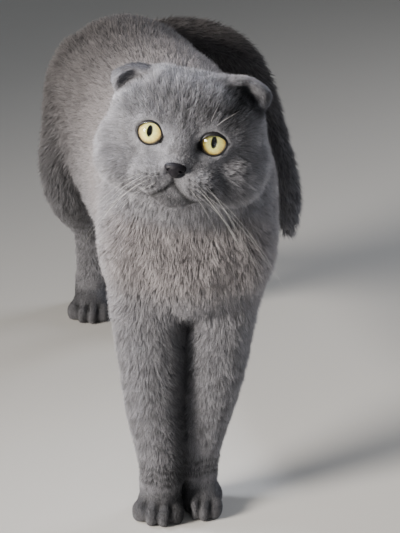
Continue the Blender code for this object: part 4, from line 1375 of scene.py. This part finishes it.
whiskerPlan = {
    "seed": 5,
    "length": 54,
    "browLength": 30,
    "browRoots": ((16, 13.5), (20, 12.0)),
    "browDroop": 0.1,
    "thick": 0.1,
    "tip": 0.12,
    "sides": 5,
    "bends": 10,
    "droop": 0.5,
    "sunk": 2,  # how deep a root goes into the skin
}


def whiskerArcs():
    draw = np.random.default_rng(whiskerPlan["seed"])
    arcs = []
    turn = headMatrix.to_3x3()
    for side, sign in sideSigns.items():
        for x, z in whiskerRoots(side)[1::2]:
            spread = abs(x) / 26
            length = whiskerPlan["length"] * (0.45 + 0.6 * spread) * draw.uniform(0.6, 1.1)
            length *= 1 + 0.12 * sign
            out, down = draw.uniform(0.7, 1.1), draw.uniform(0.35, 0.85)
            way = Vector((sign * out, -0.45 + 0.75 * spread, -down))
            arcs.append((onFace(x, z), turn @ way.normalized(), length, whiskerPlan["droop"]))
        for k, (x, z) in enumerate(whiskerPlan["browRoots"]):
            way = Vector((sign * (0.15 + 0.35 * k), -0.75, 0.7))
            length = whiskerPlan["browLength"] * draw.uniform(0.7, 1)
            arcs.append((onFace(sign * x, z), turn @ way.normalized(), length, whiskerPlan["browDroop"]))
    return arcs


def whiskerTree():
    tree, given = newTree("whiskerTaper", {"Lines": "Geometry", "Thick": "Float", "Hair": "Material"},
                          "Whiskers")
    curve = addNode(tree, "GeometryNodeMeshToCurve", None, {"Mesh": given["Lines"]})
    along = addNode(tree, "GeometryNodeSplineParameter").outputs["Factor"]
    kept = addNode(tree, "GeometryNodeStoreNamedAttribute", {**floatData, "domain": "POINT"},
                   {"Geometry": curve, "Name": "along", "Value": along})
    taper = addNode(tree, "ShaderNodeMapRange", None,
                    {"Value": along, "To Min": 1.0, "To Max": whiskerPlan["tip"]})
    sized = addNode(tree, "GeometryNodeSetCurveRadius", None, {"Curve": kept, "Radius": taper})
    ring = addNode(tree, "GeometryNodeCurvePrimitiveCircle", None,
                   {"Resolution": whiskerPlan["sides"], "Radius": given["Thick"]})
    tubes = addNode(tree, "GeometryNodeCurveToMesh", None,
                    {"Curve": sized, "Profile Curve": ring, "Scale": taper, "Fill Caps": True})
    real = addNode(tree, "GeometryNodeRealizeInstances", None, {0: tubes})
    dressed = addNode(tree, "GeometryNodeSetMaterial", None, {"Geometry": real, "Material": given["Hair"]})
    addNode(tree, "NodeGroupOutput", None, {0: dressed})
    return tree


def addWhiskers():
    bm = bmesh.new()
    for root, way, length, droop in whiskerArcs():
        last = None
        for k in range(whiskerPlan["bends"] + 1):
            t = k / whiskerPlan["bends"]
            arc = root + (way * t + Vector((0, 0, -1)) * droop * t**2) * length * mm
            vert = bm.verts.new(arc - way * (whiskerPlan["sunk"] * mm) * (1 - t))
            if last:
                bm.edges.new((last, vert))
            last = vert
    made = grown(meshOf(bm, "whiskerLines"), whiskerTree(),
                 {"Thick": whiskerPlan["thick"] * mm, "Hair": whiskerHair()})
    made.shade_smooth()
    newPiece("whiskers", made)


addWhiskers()
report("lips, nose and whiskers made")

# Floor, lights and air

studioPlan = {
    "floorHalf": 4.0,
    "floorCells": 8,
    "world": "#c9cdd2",
    "worldStrength": 0.27,
    "lights": {  # place, what it faces, size, watts, spread in degrees and colour
        "key": ((-1.66, -1.1, 0.92), (0.02, -0.27, 0.17), 0.7, 6.2, 40, "#fff9f2"),
        "fill": ((0.7, -1.8, 0.3), (0, -0.1, 0.15), 1.0, 1.2, 120, "#e8eefc"),
        "rim": ((-0.9, 0.1, 1.35), (0.0, -0.2, 0.3), 0.35, 0.55, 24, "#eef3ff"),
        "back": ((1.5, 1.1, 0.75), (0.0, 0.0, 0.17), 0.9, 2.3, 50, "#eef3ff"),
    },
}


def addFloor():
    bm = bmesh.new()
    cells = studioPlan["floorCells"]
    bmesh.ops.create_grid(bm, x_segments=cells, y_segments=cells, size=studioPlan["floorHalf"])
    mesh = meshOf(bm, "floor")
    mesh.materials.append(paleFloor())
    linkedObject("floor", mesh)


def addLights():
    world = bpy.data.worlds.new("studio")
    world.use_nodes = True
    air = {0: studioPlan["world"], 1: studioPlan["worldStrength"]}
    fillInputs(world.node_tree, world.node_tree.nodes["Background"], air)
    scene.world = world
    for name, (place, target, width, watts, spread, colour) in studioPlan["lights"].items():
        data = bpy.data.lights.new(name, "AREA")
        data.shape = "DISK"
        data.size = width
        data.energy = watts
        data.spread = math.radians(spread)
        data.color = linearColour(colour)[:3]
        lamp = linkedObject(name, data)
        lamp.location = place
        lamp.rotation_euler = (Vector(target) - Vector(place)).to_track_quat("-Z", "Y").to_euler()


addFloor()
addLights()
report("floor and lights made")

# Each piece rides on the root, and the solids the pieces stand for are hidden

for obj in pieces.values():
    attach(obj, "root")
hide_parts(*fleshNodes)
for side in sideSigns:
    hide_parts("eye_" + side)
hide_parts("nose")

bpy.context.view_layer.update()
report("sizes written")
